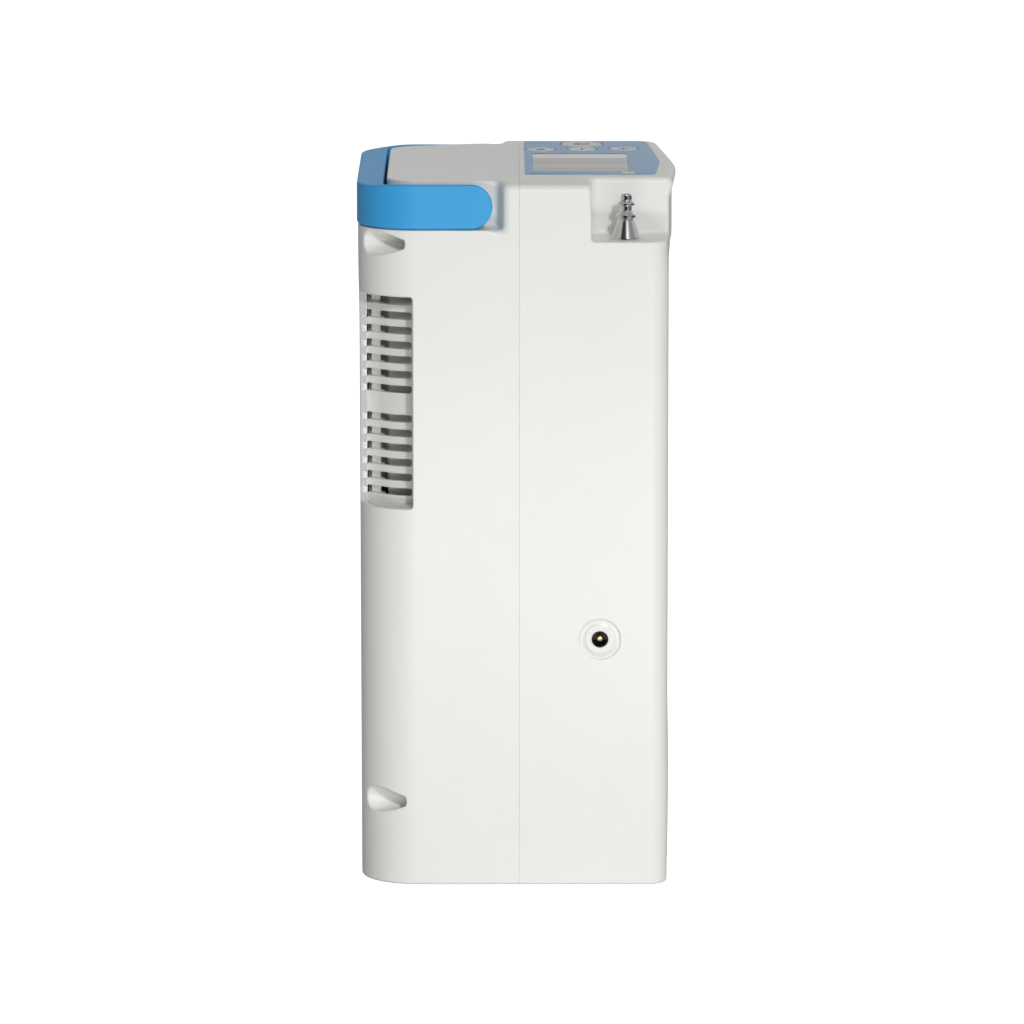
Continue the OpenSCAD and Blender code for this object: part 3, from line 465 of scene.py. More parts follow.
def spin(name, rings, at, axis, slot, body="casing", cad=(), segments=96, sharp=40, closed=False):
    """A turned piece. rings is [(radius, height)] in mm along axis from at; corners given as (r, h, rounding)."""
    pts = []
    m = len(rings)
    for i, ring in enumerate(rings):
        r, h = ring[0], ring[1]
        rad = ring[2] if len(ring) > 2 else 0.0
        if rad and (closed or 0 < i < m - 1):
            a = Vector((rings[i - 1][0], rings[i - 1][1]))
            b = Vector((r, h))
            c = Vector((rings[(i + 1) % m][0], rings[(i + 1) % m][1]))
            u, v = (a - b), (c - b)
            lu, lv = u.length, v.length
            u.normalize(), v.normalize()
            half = math.acos(max(-1, min(1, u.dot(v)))) / 2
            d = min(rad / math.tan(half), lu * 0.48, lv * 0.48) if half > 1e-3 else 0
            p, q = b + u * d, b + v * d
            for k in range(6):
                t = k / 5
                pts.append(tuple((1 - t) ** 2 * p + 2 * t * (1 - t) * b + t * t * q))
        else:
            pts.append((r, h))
    bm = bmesh.new()
    rows = []
    ax = {"z": lambda r, h, c, s: (at[0] + r * c, at[1] + r * s, at[2] + h),
          "-y": lambda r, h, c, s: (at[0] + r * c, at[1] - h, at[2] + r * s),
          "x": lambda r, h, c, s: (at[0] + h, at[1] + r * c, at[2] + r * s)}[axis]
    for r, h in pts:
        if r < 1e-6:
            rows.append([bm.verts.new(Vector(ax(0, h, 1, 0)) * MM)])
        else:
            rows.append([bm.verts.new(Vector(ax(r, h, math.cos(2 * math.pi * k / segments), math.sin(2 * math.pi * k / segments))) * MM)
                         for k in range(segments)])
    pairs = list(zip(rows, rows[1:])) + ([(rows[-1], rows[0])] if closed else [])
    for a, b in pairs:
        for k in range(segments):
            k2 = (k + 1) % segments
            if len(a) == 1 and len(b) == 1:
                continue
            if len(a) == 1:
                bm.faces.new((a[0], b[k2], b[k]))
            elif len(b) == 1:
                bm.faces.new((a[k], a[k2], b[0]))
            else:
                bm.faces.new((a[k], a[k2], b[k2], b[k]))
    bmesh.ops.recalc_face_normals(bm, faces=bm.faces)
    for f in bm.faces:
        f.smooth = True
    for e in bm.edges:
        e.smooth = not (e.is_manifold and e.calc_face_angle(0) > math.radians(sharp))
    me = bpy.data.meshes.new(name)
    bm.to_mesh(me)
    bm.free()
    return finish_object(name, me, slot, body, cad)


def plate(name, outline, holes, z0, z1, slot, body="casing", cad=(), bevel=0.06):
    """A flat sheet between z0 and z1 with a softened top edge. Outline and holes are rings of (x, y), all in mm."""
    bm = bmesh.new()

    def ring(points, z, inset=0.0, sign=1.0):
        m = len(points)
        out = []
        for i, p in enumerate(points):
            a, b = Vector(points[i - 1]), Vector(points[(i + 1) % m])
            t = (b - a).normalized()
            nrm = Vector((t.y, -t.x)) * sign
            q = Vector(p) - nrm * inset
            out.append(bm.verts.new((q.x * MM, q.y * MM, z * MM)))
        return out

    def loop_edges(vs):
        return [bm.edges.get((vs[i - 1], vs[i])) or bm.edges.new((vs[i - 1], vs[i])) for i in range(len(vs))]

    tops, bottoms = [], []
    for points, sign in [(outline, 1.0)] + [(h, -1.0) for h in holes]:
        low = ring(points, z0)
        mid = ring(points, z1 - bevel)
        mid2 = ring(points, z1 - bevel * 0.3, bevel * 0.3, sign)
        top = ring(points, z1, bevel, sign)
        for a, b in ((low, mid), (mid, mid2), (mid2, top)):
            for i in range(len(points)):
                bm.faces.new((a[i - 1], a[i], b[i], b[i - 1]))
        tops += loop_edges(top)
        bottoms += loop_edges(low)
    for group in (tops, bottoms):
        bmesh.ops.triangle_fill(bm, use_beauty=True, use_dissolve=False, edges=group)
    bmesh.ops.recalc_face_normals(bm, faces=bm.faces)
    for f in bm.faces:
        f.smooth = True
    for e in bm.edges:
        e.smooth = not (e.is_manifold and e.calc_face_angle(0) > math.radians(35))
    me = bpy.data.meshes.new(name)
    bm.to_mesh(me)
    bm.free()
    return finish_object(name, me, slot, body, cad)


def circle(c, r, m=64):
    return [(c[0] + r * math.cos(2 * math.pi * k / m), c[1] + r * math.sin(2 * math.pi * k / m)) for k in range(m)]


def rounded(points, radii, m=6):
    """A polygon with its corners rounded."""
    out = []
    for i, p in enumerate(points):
        a, b, c = Vector(points[i - 1]), Vector(p), Vector(points[(i + 1) % len(points)])
        r = radii[i] if isinstance(radii, (list, tuple)) else radii
        if not r:
            out.append(tuple(b))
            continue
        u, v = (a - b).normalized(), (c - b).normalized()
        half = math.acos(max(-1, min(1, u.dot(v)))) / 2
        d = r / math.tan(half)
        p0, p1 = b + u * d, b + v * d
        for k in range(m + 1):
            t = k / m
            out.append(tuple((1 - t) ** 2 * p0 + 2 * t * (1 - t) * b + t * t * p1))
    return out


# ------------------------------------------------------------------ the casing's shape, millimetres
H, W2 = 246.0, 62.5
Z_REC, Z_LED, X_LED, Y_LED = 229.6, 226.0, 26.7, -41.1
PIV = (-15.0, 238.1)
WIN0, WIN1 = 132.8, 206.8
SLOT = 2.55
SLOTS = [WIN0 + 2.9 + 5.15 * i for i in range(6)] + [WIN1 - SLOT - 1.7 - 5.15 * i for i in range(7)]
SCREW_Z = (29.5, 225.1)
NOZ = (38.8, -53.7)
JACK = (29.9, 87.0)
SMALL = ((9.7, 33.6), (24.5, 34.8), (39.2, 35.8))
POWER = (24.4, 49.3)
LCD = (6.7, -27.0, 40.2, 22.0)


def front_x(y, z):
    s = np.sqrt(y * y + 25.0)
    # a little fuller near the base, then the brow under the head
    low = 54.8 - 0.025 * s + 0.35 * ramp01((62.0 - z) / 30.0) - 0.3 * ramp01((22.0 - z) / 22.0)
    brow = 55.65 - np.where(y < 0, 0.052, 0.09) * (s - 5.0)
    return low + (brow - low) * ramp01((z - 218.0) / 3.2) + 1.35 * ramp01((z - 237.5) / 6.0)


def back_x(z):
    return -53.1 - 0.35 * np.clip(z / 205.0, 0, 1) - 0.35 * ramp01((z - 196.0) / 25.0)


def plan(x, y, z, inset=0.0):
    ay = np.abs(y) - (W2 - inset)
    d = rmax(back_x(z) + inset - x, ay, 20.0 - inset)
    return rmax(d, x - front_x(y, z) + inset, 7.0 - inset)


def top_z(x, y):
    return H - 0.9 * ramp01((-x - 8.0) / 34.0) * ramp01((y + 10.0) / 60.0)


def recess(x, y, z):
    """The space for the carry handle: its floor, the raised middle and two leaning end walls."""
    island = rmax(-43.8 - x, np.abs(y) - 52.5, 10.0)
    end = (x - (-3.3 - 0.22 * (W2 - np.abs(y)))) * 0.977
    return rmax(rmax(Z_REC + 0.4 - z, -island, 1.6), end, 1.4)


def ledge(x, y, z):
    return rmax(rmax(X_LED - x, y - Y_LED, 3.0), Z_LED - z, 1.2)


def rod_x(x, y, z, cy, cz, r):
    return np.hypot(y - cy, z - cz) - r


def notch(x, y, z):
    """Screw pockets in the rear corners: oblong scoops, then round wells down to the screws."""
    ay = np.abs(y)
    d = None
    for zc in SCREW_Z:
        v = ay - 55.7
        e = (np.hypot(v * np.where(v > 0, 4.3 / 6.5, 1.0), z - zc) - 4.3)
        scoop = rmax(e, x + 37.0, 1.0)
        well = np.maximum(np.hypot(ay - 56.0, z - zc) - 3.4, x + 28.0)
        both = np.minimum(scoop, well)
        d = both if d is None else np.minimum(d, both)
    return d


def window(x, y, z):
    box = rmax(x + 34.8, np.abs(z - (WIN0 + WIN1) / 2) - (WIN1 - WIN0) / 2, 1.1)
    ay = np.abs(y)
    slant = 0.6675 * (x + 53.1) - 0.7446 * (ay - 43.6)
    lip = rmax(np.maximum(slant, x + 49.0), np.abs(z - (WIN0 + WIN1) / 2) - (WIN1 - WIN0) / 2, 1.1)
    return np.minimum(np.maximum(np.maximum(box, -50.15 - x), 44.0 - ay), lip)


def slot_pitch_z(z):
    d = None
    for s in SLOTS:
        e = np.abs(z - s - SLOT / 2) - SLOT / 2
        d = e if d is None else np.minimum(d, e)
    return d


def rear_slots(x, y, z):
    ay = np.abs(y)
    zz = slot_pitch_z(z)
    runs = np.minimum(ay - 24.0, np.abs(ay - 34.75) - 6.25)
    across = rmax(zz, runs, 0.6)
    scoops = np.maximum(np.maximum(zz, z - 198.0), 44.3 - ay)
    return np.maximum(np.minimum(across, scoops), x + 48.9)


def fan_slots(x, y, z):
    d = None
    for i in range(7):
        e = np.abs(z - 49.2 - 4.6 * i) - 1.2
        d = e if d is None else np.minimum(d, e)
    return np.maximum(rmax(d, np.abs(x + 17.0) - 15.0, 1.15), 56.0 - y)


def jack_dish(x, y, z):
    r = np.hypot(x - JACK[0], z - JACK[1])
    return np.maximum(rmax(r - 7.0, y + W2 - 0.98, 0.15), -(y + W2) - 6)


def casing(x, y, z):
    edge = 3.1
    d = rmax(plan(x, y, z), z - top_z(x, y), edge)
    d = rmax(d, -z, 1.0)
    near_end = ramp01((x + 10.0) / 4.5)
    d = cut(d, recess(x, y, z), 0.4 + 1.7 * near_end)
    return d


def cavity(x, y, z):
    d = rmax(plan(x, y, z, 2.5), z - (H - 2.5), 1.5)
    d = rmax(d, 2.5 - z, 1.5)
    return np.maximum(d, 2.4 - recess(x, y, z))


def rear_shape(x, y, z):
    d = casing(x, y, z)
    n = notch(x, y, z)
    tower = None
    for zc in SCREW_Z:
        t = np.hypot(np.abs(y) - 56.7, z - zc) - 5.4
        tower = t if tower is None else np.minimum(tower, t)
    hollow = np.maximum(np.maximum(cavity(x, y, z), 1.6 - n), -tower)
    d = np.maximum(d, -hollow)
    d = cut(d, n, 0.45)
    d = cut(d, window(x, y, z), 0.45)
    d = cut(d, rear_slots(x, y, z), 0.35)
    d = cut(d, fan_slots(x, y, z), 0.35)
    pins = np.maximum(np.hypot(x - PIV[0], z - PIV[1]) - 3.02, 44.0 - np.abs(y))
    d = np.maximum(d, -pins)
    for s in (-1, 1):
        d = np.maximum(d, -np.maximum(np.hypot(x + 36.0, y - 44.0 * s) - 5.5, z - 1.2))
    return rmax(d, x - 1.99, 0.09)


def front_shape(x, y, z):
    d = casing(x, y, z)
    le = ledge(x, y, z)
    tower = None
    for zc in SCREW_Z:
        t = np.hypot(np.abs(y) - 56.7, z - zc) - 5.4
        t = np.maximum(t, x - 20.0)
        tower = t if tower is None else np.minimum(tower, t)
    boss = np.maximum(np.hypot(x - JACK[0], z - JACK[1]) - 8.2, y + 56.5)
    hollow = np.maximum(np.maximum(cavity(x, y, z), 2.4 - le), np.maximum(-tower, -boss))
    d = np.maximum(d, -hollow)
    d = cut(d, le, 0.8 + 1.45 * ramp01((z - 232.0) / 12.0))
    d = cut(d, jack_dish(x, y, z), 0.55)
    d = np.maximum(d, -np.maximum(np.hypot(x - JACK[0], z - JACK[1]) - 5.62, y + 54.5))
    cx, cy = (LCD[0] + LCD[2]) / 2, (LCD[1] + LCD[3]) / 2
    lcd = rmax(np.abs(x - cx) - (LCD[2] - LCD[0]) / 2, np.abs(y - cy) - (LCD[3] - LCD[1]) / 2, 1.0)
    d = np.maximum(d, -np.maximum(lcd, 240.0 - z))
    for c in SMALL:
        d = np.maximum(d, -np.maximum(np.hypot(x - c[0], y - c[1]) - 5.75, 240.0 - z))
    d = np.maximum(d, -np.maximum(np.hypot(x - POWER[0], y - POWER[1]) - 8.0, 240.0 - z))
    d = np.maximum(d, -np.maximum(np.maximum(np.abs(x - 39.7) - 2.8, np.abs(y + 31.7) - 2.3), 240.0 - z))
    d = np.maximum(d, -np.maximum(np.hypot(x - NOZ[0], y - NOZ[1]) - 3.05, np.maximum(220.0 - z, z - 232.0)))
    for s in (-1, 1):
        d = np.maximum(d, -np.maximum(np.hypot(x - 45.5, y - 54.0 * s) - 4.5, z - 1.2))
    return rmax(d, 2.01 - x, 0.09)


def near(values, half, step):
    return [(v - half, v + half, step) for v in values]


F = 1.0   # coarser while trying things
slot_edges = [v for s in SLOTS for v in (s, s + SLOT)]
both = lambda zs: zs + [(-b, -a, s) for a, b, s in zs]

solid("rear_casing", rear_shape,
      lines(-54.6, 2.8, 4.0, [(-54.4, -52.6, 0.4 * F), (-52.6, -50.9, 0.5 * F), (-50.9, -48.7, 0.24 * F), (-50.0, -33.0, 0.7 * F), (-37.2, -35.0, 0.35 * F),
                              (-35.4, -34.2, 0.3 * F), (-29.0, -27.6, 0.5), (-33, -31, 0.5 * F), (-3.2, -1.0, 0.5 * F), (-9.0, 0.6, 0.5 * F),
                              (-18.5, -11.5, 0.8 * F), (1.5, 2.05, 0.06)]),
      lines(-63.4, 63.4, 4.0, both([(42.0, 58.0, 0.75 * F), (58.0, 61.0, 0.5 * F), (61.0, 63.2, 0.3 * F), (23.2, 29.3, 0.45 * F),
                                    (40.3, 46.8, 0.45 * F), (51.0, 54.5, 0.4 * F)])),
      lines(-0.6, 246.7, 5.0, [(-0.2, 3.0, 0.35 * F), (23.5, 35.5, 0.55 * F), (47.4, 79.4, 0.42 * F), (131.2, 208.6, 0.8 * F)]
            + near(slot_edges, 0.5, 0.26 * F) + [(218.5, 232.4, 0.5 * F), (228.6, 230.4, 0.3 * F), (234.6, 241.6, 0.8 * F), (241.8, 246.3, 0.4 * F)]),
      "white_casing", cad=("rear_shell",))

solid("front_casing", front_shape,
      lines(1.4, 58.6, 4.0, [(1.95, 2.5, 0.06), (3.0, 18.0, 0.9 * F), (5.6, 8.0, 0.4 * F), (18.0, 22.5, 0.8 * F), (22.5, 37.6, 0.5 * F),
                             (37.6, 46.0, 0.7 * F), (46.0, 57.8, 0.6 * F)]),
      lines(-63.4, 63.4, 4.0, [(-63.2, -60.8, 0.3 * F), (-60.8, -54.0, 0.6 * F), (-49.0, -36.5, 0.5 * F), (-36.5, -26.0, 0.8 * F), (21.0, 23.0, 0.4 * F),
                               (27.6, 58.0, 0.9 * F), (54.0, 60.8, 0.6 * F), (60.8, 63.2, 0.3 * F)]),
      lines(-0.6, 246.7, 5.0, [(-0.2, 4.0, 0.35 * F), (24.0, 35.0, 0.9), (78.8, 95.2, 0.5 * F), (222.5, 232.0, 0.4 * F), (232.0, 241.0, 0.7 * F),
                               (241.0, 246.4, 0.4 * F)]),
      "white_casing", cad=("front_shell",))


# ------------------------------------------------------------------ louvred insert
def louvre(x, y, z):
    ay = np.abs(y)
    outer = rmax(-50.5 - x, ay - 52.0, 17.5)
    inner = rmax(-49.2 - x, ay - 50.7, 16.2)
    skin = np.maximum(rmax(rmax(outer, -inner, 0.25), x + 33.0, 0.3), np.abs(z - 169.8) - 38.9)
    fill = np.maximum((ay - 46.7 - 0.7 * (x + 45.5)) / 1.22, np.maximum(41.6 - ay, np.maximum(-50.9 - x, x + 44.6)))
    skin = rmin(skin, np.maximum(fill, np.abs(z - 169.8) - 38.9), 0.4)
    zz = slot_pitch_z(z)
    side = np.maximum(rmax(zz, x + 35.2, 0.9), 28.0 - ay)
    rear = np.maximum(rmax(zz, ay - 24.0, 0.6), x + 45.0)
    d = cut(skin, np.minimum(side, rear), 0.3)
    rib = np.maximum(np.maximum(np.abs(ay - 26.0) - 2.0, np.abs(x + 47.55) - 1.55), np.abs(z - 169.8) - 38.8)
    mid = np.maximum(np.maximum(ay - 1.25, np.abs(x + 46.5) - 2.7), np.abs(z - 169.8) - 38.8)
    wall = np.maximum((ay - 43.2 - 0.5 * (x + 45.9)) / 1.12, np.maximum(37.0 - ay, np.abs(x + 47.6) - 1.7))
    wall = np.maximum(wall, np.abs(z - 169.8) - 38.8)
    d = np.minimum(d, np.minimum(wall, np.minimum(rib, mid)))
    # sill, lintel and jamb of each side pocket
    lim = plan(x, y, z, 2.55)
    shelf = np.maximum(np.maximum(lim, np.abs(np.abs(z - 169.8) - 38.0) - 1.0), np.maximum(-inner, x + 32.0))
    jamb = np.maximum(np.maximum(np.abs(x + 33.3) - 1.3, np.abs(ay - 55.3) - 4.6), np.abs(z - 169.8) - 38.9)
    return np.minimum(d, np.minimum(shelf, jamb))


solid("louvre_insert", louvre,
      lines(-51.4, -31.4, 2.0, [(-51.2, -33.2, 0.5 * F), (-51.0, -48.8, 0.36 * F), (-36.4, -34.6, 0.35 * F), (-34.8, -31.8, 0.5 * F)]),
      lines(-60.6, 60.6, 4.0, both([(0.0, 2.0, 0.4), (23.0, 28.6, 0.5 * F), (34.0, 37.0, 0.7 * F), (37.0, 47.0, 0.4 * F), (47.0, 52.6, 0.5 * F), (50.2, 52.4, 0.36 * F), (52.6, 60.2, 0.9 * F)])),
      lines(130.0, 209.6, 0.9 * F, near(slot_edges, 0.6, 0.3 * F)),
      "white_louvre", cad=("rear_grille",))


# ------------------------------------------------------------------ carry handle
def handle(x, y, z):
    ay = np.abs(y)
    outer = rmax(-54.2 - x, ay - 63.1, 20.6)
    inner = rmax(rmax(-51.6 - x, ay - 60.5, 18.0), -44.9 - x, 2.0)
    back = ramp01((-38.0 - x) / 13.0)
    far = ramp01((y + 30.0) / 90.0)
    drop = 1.1 * back + 1.4 * far * (1 - 0.4 * back)
    fade = np.clip(x - PIV[0], 0, None)
    v = np.where(x > PIV[0], np.hypot(fade, z - PIV[1]), np.abs(z - PIV[1])) - 7.75
    v = rmax(v, z - (245.85 - drop), 0.3)
    d = rmax(rmax(outer, v, 0.9), -inner, 0.9)
    boss = rmax(np.hypot(x - PIV[0], z - PIV[1]) - 6.0, 54.4 - ay, 0.6)
    boss = np.maximum(boss, ay - 61.5)
    d = rmin(d, boss, 0.8)
    bore = np.maximum(np.hypot(x - PIV[0], z - PIV[1]) - 3.05, ay - 60.9)
    return np.maximum(d, -bore)


solid("bail_handle", handle,
      lines(-54.8, -6.6, 3.0, [(-54.6, -50.0, 0.45 * F), (-50.0, -33.0, 0.7 * F), (-46.6, -43.2, 0.4 * F), (-23.5, -6.9, 0.5 * F)]),
      lines(-63.6, 63.6, 4.0, both([(41.0, 60.0, 0.7 * F), (53.8, 55.6, 0.45 * F), (59.6, 63.4, 0.32 * F)])),
      lines(229.9, 246.3, 0.75 * F, [(230.0, 232.4, 0.32 * F), (243.0, 246.1, 0.32 * F)]),
      "blue_handle", body="handle", cad=("carry_handle",))

# ------------------------------------------------------------------ control deck
def head_front(y):
    return 57.0 - 0.07 * math.sqrt(y * y + 25.0)


film = [(3.9, -36.0), (head_front(-36) - 6.6, -36.0)]
film += [(head_front(y) - 5.3, y) for y in [-33 + 87 * j / 12 for j in range(13)]]
film += [(head_front(58) - 7.4, 58.3), (3.9, 58.3)]
film = rounded(film, [1.2, 1.2] + [0] * 13 + [1.2, 1.2])
window_hole = rounded([(LCD[0], LCD[1]), (LCD[2], LCD[1]), (LCD[2], LCD[3]), (LCD[0], LCD[3])], 0.8)
led_hole = rounded([(37.0, -33.9), (42.4, -33.9), (42.4, -29.5), (37.0, -29.5)], 0.5)
plate("overlay_film", film,
      [window_hole[::-1], led_hole[::-1]] + [circle(c, 5.55)[::-1] for c in SMALL] + [circle(POWER, 7.8, 80)[::-1]],
      245.98, 246.12, "blue_overlay", cad=("control_overlay",))

plate("window_lens", rounded([(LCD[0] - 0.2, LCD[1] - 0.2), (LCD[2] + 0.2, LCD[1] - 0.2), (LCD[2] + 0.2, LCD[3] + 0.2), (LCD[0] - 0.2, LCD[3] + 0.2)], 0.9),
      [], 245.0, 246.02, "display_lens", cad=("lcd_window",), bevel=0.1)
plate("display_body", rounded([(LCD[0] - 2, LCD[1] - 2), (LCD[2] + 2, LCD[1] - 2), (LCD[2] + 2, LCD[3] + 2), (LCD[0] - 2, LCD[3] + 2)], 0.5),
      [], 237.4, 243.4, "display_panel", cad=("lcd_module",), bevel=0.2)


def segment_digit(bm, x, y, w, h, t=0.55):
    """Seven bars of a numeral, read from the front of the machine."""
    bars = []
    g = 0.18
    for yy in (y, y + h / 2, y + h):
        bars.append(((x + g, yy - t / 2), (x + w - g, yy + t / 2)))
    for xx in (x, x + w):
        for y0 in (y, y + h / 2):
            bars.append(((xx - t / 2, y0 + g), (xx + t / 2, y0 + h / 2 - g)))
    return bars


bars = []
for k in range(3):
    bars += segment_digit(None, 12.0 + k * 8.0, 1.2, 4.6, 8.2)
for k in range(5):
    bars.append(((11.0 + k * 3.4, -17.6), (13.6 + k * 3.4, -16.0 + 0.6 * k)))
bars += [((31.0, -24.5), (37.5, -23.9)), ((31.0, -20.1), (37.5, -19.5)), ((31.0, -23.9), (31.6, -20.1)), ((36.9, -23.9), (37.5, -20.1))]
bm = bmesh.new()
for (xa, ya), (xb_, yb) in bars:
    pts = [(xa, ya), (xb_, ya), (xb_, yb), (xa, yb)]
    top = [bm.verts.new((px * MM, py * MM, 243.44 * MM)) for px, py in pts]
    low = [bm.verts.new((px * MM, py * MM, 243.36 * MM)) for px, py in pts]
    bm.faces.new(top)
    bm.faces.new(low[::-1])
    for i in range(4):
        bm.faces.new((low[i - 1], low[i], top[i], top[i - 1]))
bmesh.ops.recalc_face_normals(bm, faces=bm.faces)
me = bpy.data.meshes.new("idle_segments")
bm.to_mesh(me)
bm.free()
finish_object("idle_segments", me, "segment_ink")

# buttons: a crowned cap with a raised rim, a skirt and a flange under the casing
def button(name, node, c, r, icon):
    t = 246.25
    rings = [(0, t - 0.16), (r * 0.45, t - 0.13), (r - 1.5, t - 0.10, 0.4), (r - 1.05, t, 0.35), (r - 0.35, t, 0.4), (r, t - 0.45, 0.4),
             (r, 243.4, 0.1), (r + 0.7, 243.38, 0.1), (r + 0.7, 242.6, 0.1), (0, 242.6)]
    spin(name, rings, (c[0], c[1], 0), "z", "pale_button", body=node, cad=(node,), sharp=32)
    bm = bmesh.new()
    for pts in icon:
        z0, z1 = t - 0.17, t - 0.075
        top = [bm.verts.new(((c[0] + px) * MM, (c[1] + py) * MM, z1 * MM)) for px, py in pts]
        low = [bm.verts.new(((c[0] + px) * MM, (c[1] + py) * MM, z0 * MM)) for px, py in pts]
        bm.faces.new(top)
        bm.faces.new(low[::-1])
        for i in range(len(pts)):
            bm.faces.new((low[i - 1], low[i], top[i], top[i - 1]))
    bmesh.ops.recalc_face_normals(bm, faces=bm.faces)
    me = bpy.data.meshes.new(name + "_mark")
    bm.to_mesh(me)
    bm.free()
    finish_object(name + "_mark", me, "icon_print", body=node)


def bar(x0, y0, x1, y1):
    return [(x0, y0), (x1, y0), (x1, y1), (x0, y1)]


def ring_part(r0, r1, a0, a1, m=28):
    angles = [math.radians(a0 + (a1 - a0) * k / m) for k in range(m + 1)]
    quads = []
    for p, q in zip(angles, angles[1:]):
        quads.append([(r0 * math.cos(p), r0 * math.sin(p)), (r1 * math.cos(p), r1 * math.sin(p)),
                      (r1 * math.cos(q), r1 * math.sin(q)), (r0 * math.cos(q), r0 * math.sin(q))])
    return quads


# the machine's controls are read from its +X side, so marks stand up towards -X
button("power_cap", "power_button", POWER, 7.5, ring_part(2.3, 2.85, 215, 505, 36) + [bar(-3.3, -0.3, -0.4, 0.3)])
button("plus_cap", "flow_up_button", SMALL[2], 5.25, [bar(-1.9, -0.3, 1.9, 0.3), bar(-0.3, 0.32, 0.3, 1.9), bar(-0.3, -1.9, 0.3, -0.32)])
button("minus_cap", "flow_down_button", SMALL[1], 5.25, [bar(-0.3, -1.9, 0.3, 1.9)])
button("mute_cap", "mute_button", SMALL[0], 5.25,
       [[(1.1, -1.7), (1.1, 1.7), (0.7, 1.5), (-0.7, 1.15), (-1.5, 0.6), (-1.75, 0.0), (-1.5, -0.6), (-0.7, -1.15), (0.7, -1.5)],
        bar(1.35, -0.5, 1.75, 0.5)])

plate("status_lens", rounded([(37.1, -33.8), (42.3, -33.8), (42.3, -29.6), (37.1, -29.6)], 0.6), [], 241.0, 246.16, "amber_lens",
      cad=("status_light",), bevel=0.3)

# ------------------------------------------------------------------ oxygen outlet
spin("outlet_barb",
     [(1.3, -0.05, 0), (4.8, 0.0, 0.1), (4.95, 0.2, 0.1), (4.92, 0.7, 0.3), (2.95, 6.3, 0.5), (2.7, 6.8, 0.1),
      (2.7, 7.2, 0.1), (3.3, 7.45, 0.1), (3.46, 7.6, 0.08), (3.46, 8.4, 0.1), (2.55, 9.0, 0.5), (2.0, 9.9, 0.5), (2.0, 11.4, 0.1), (2.8, 11.65, 0.1),
      (2.95, 11.8, 0.08), (2.95, 12.45, 0.1), (2.35, 12.95, 0.4), (2.0, 13.7, 0.4), (1.98, 15.1, 0.1), (1.8, 15.5, 0.15), (1.45, 15.5, 0.1),
      (1.3, 15.2, 0.1)],
     (NOZ[0], NOZ[1], Z_LED), "z", "chrome_outlet", cad=("outlet_nozzle",), sharp=30, closed=True)
spin("seal_ring", [(4.2 + 0.55 * math.cos(a), 0.4 + 0.38 * math.sin(a)) for a in [math.radians(k * 30) for k in range(12)]],
     (NOZ[0], NOZ[1], Z_LED), "z", "black_rubber", cad=("outlet_o_ring",), closed=True)

# ------------------------------------------------------------------ power jack
jk = (JACK[0], -W2, JACK[1])
spin("jack_ring", [(3.4, -2.6), (3.4, -1.25, 0.05), (2.86, -1.2, 0.05), (2.86, -0.42, 0.25), (3.2, -0.22, 0.2), (4.9, -0.2, 0.6), (5.7, -0.55, 0.5),
                   (6.5, -0.66, 0.3), (6.98, -0.6, 0.05), (6.98, -0.95, 0.05), (5.56, -0.95, 0.05), (5.56, -2.6)],
     jk, "-y", "white_bezel", cad=("dc_jack_bezel",), sharp=34, closed=True)
spin("jack_barrel", [(2.84, -10.5), (2.84, -1.3, 0.05), (3.36, -1.32, 0.05), (3.36, -2.62, 0.05), (5.5, -2.64, 0.1),
                     (5.5, -13.9, 0.2), (0.66, -14.0), (0.66, -10.5)],
     jk, "-y", "black_plastic", cad=("dc_jack_body",), sharp=34, closed=True)
spin("jack_pin", [(0, -1.5), (0.6, -1.54, 0.3), (0.95, -1.72, 0.2), (1.05, -2.0, 0.2), (1.05, -10.45, 0.1), (0.6, -10.45, 0.1), (0.6, -17.0), (0, -17.0)],
     jk, "-y", "gold_contact", cad=("dc_jack_pin",), sharp=40)

# ------------------------------------------------------------------ screws and feet
for sy, side in ((-1, "near"), (1, "far")):
    for zc, lev in ((29.7, "low"), (224.8, "high")):
        hexa = []
        spin(f"screw_{side}_{lev}",
             [(0, 14.0), (1.2, 14.0, 0.3), (1.48, 13.2, 0.2), (1.48, -27.9, 0.1), (2.6, -28.0, 0.1), (2.7, -28.2, 0.1), (2.7, -29.6, 0.5), (2.1, -30.2, 0.2),
              (1.45, -30.2, 0.08), (1.4, -29.9, 0.05), (1.2, -28.9, 0.05), (0, -28.6)],
             (0, sy * 56.7, zc), "x", "zinc_steel", segments=48, sharp=34,
             cad=("case_screws",) if (sy, lev) == (-1, "low") else ())
for (fx_, fy_, fr_) in ((-36, -44, 5.4), (-36, 44, 5.4), (45.5, -54, 4.4), (45.5, 54, 4.4)):
    rings = [(0, 1.18), (fr_, 1.18, 0.1), (fr_, 0.35, 0.2), (fr_ - 0.3, 0.0, 0.15)]
    r = fr_ - 0.9
    while r > 1.0:
        rings += [(r, 0.0, 0.08), (r - 0.2, 0.22, 0.08), (r - 0.55, 0.22, 0.08), (r - 0.75, 0.0, 0.08)]
        r -= 1.5
    rings += [(0, 0.0)]
    spin(f"foot_{'rear' if fx_ < 0 else 'front'}_{'near' if fy_ < 0 else 'far'}", rings, (fx_, fy_, 0), "z", "black_rubber", segments=64,
         sharp=34, cad=("rubber_feet",) if (fx_, fy_) == (-36, -44) else ())

# ------------------------------------------------------------------ finish of the carried-over pieces
slots = {s["node"]: s["material_slot"] for s in frame["record"]["subparts"]}
for name, ob in frame["nodes"].items():
    ob.data.materials.clear()
    ob.data.materials.append(MATS[slots[name]])

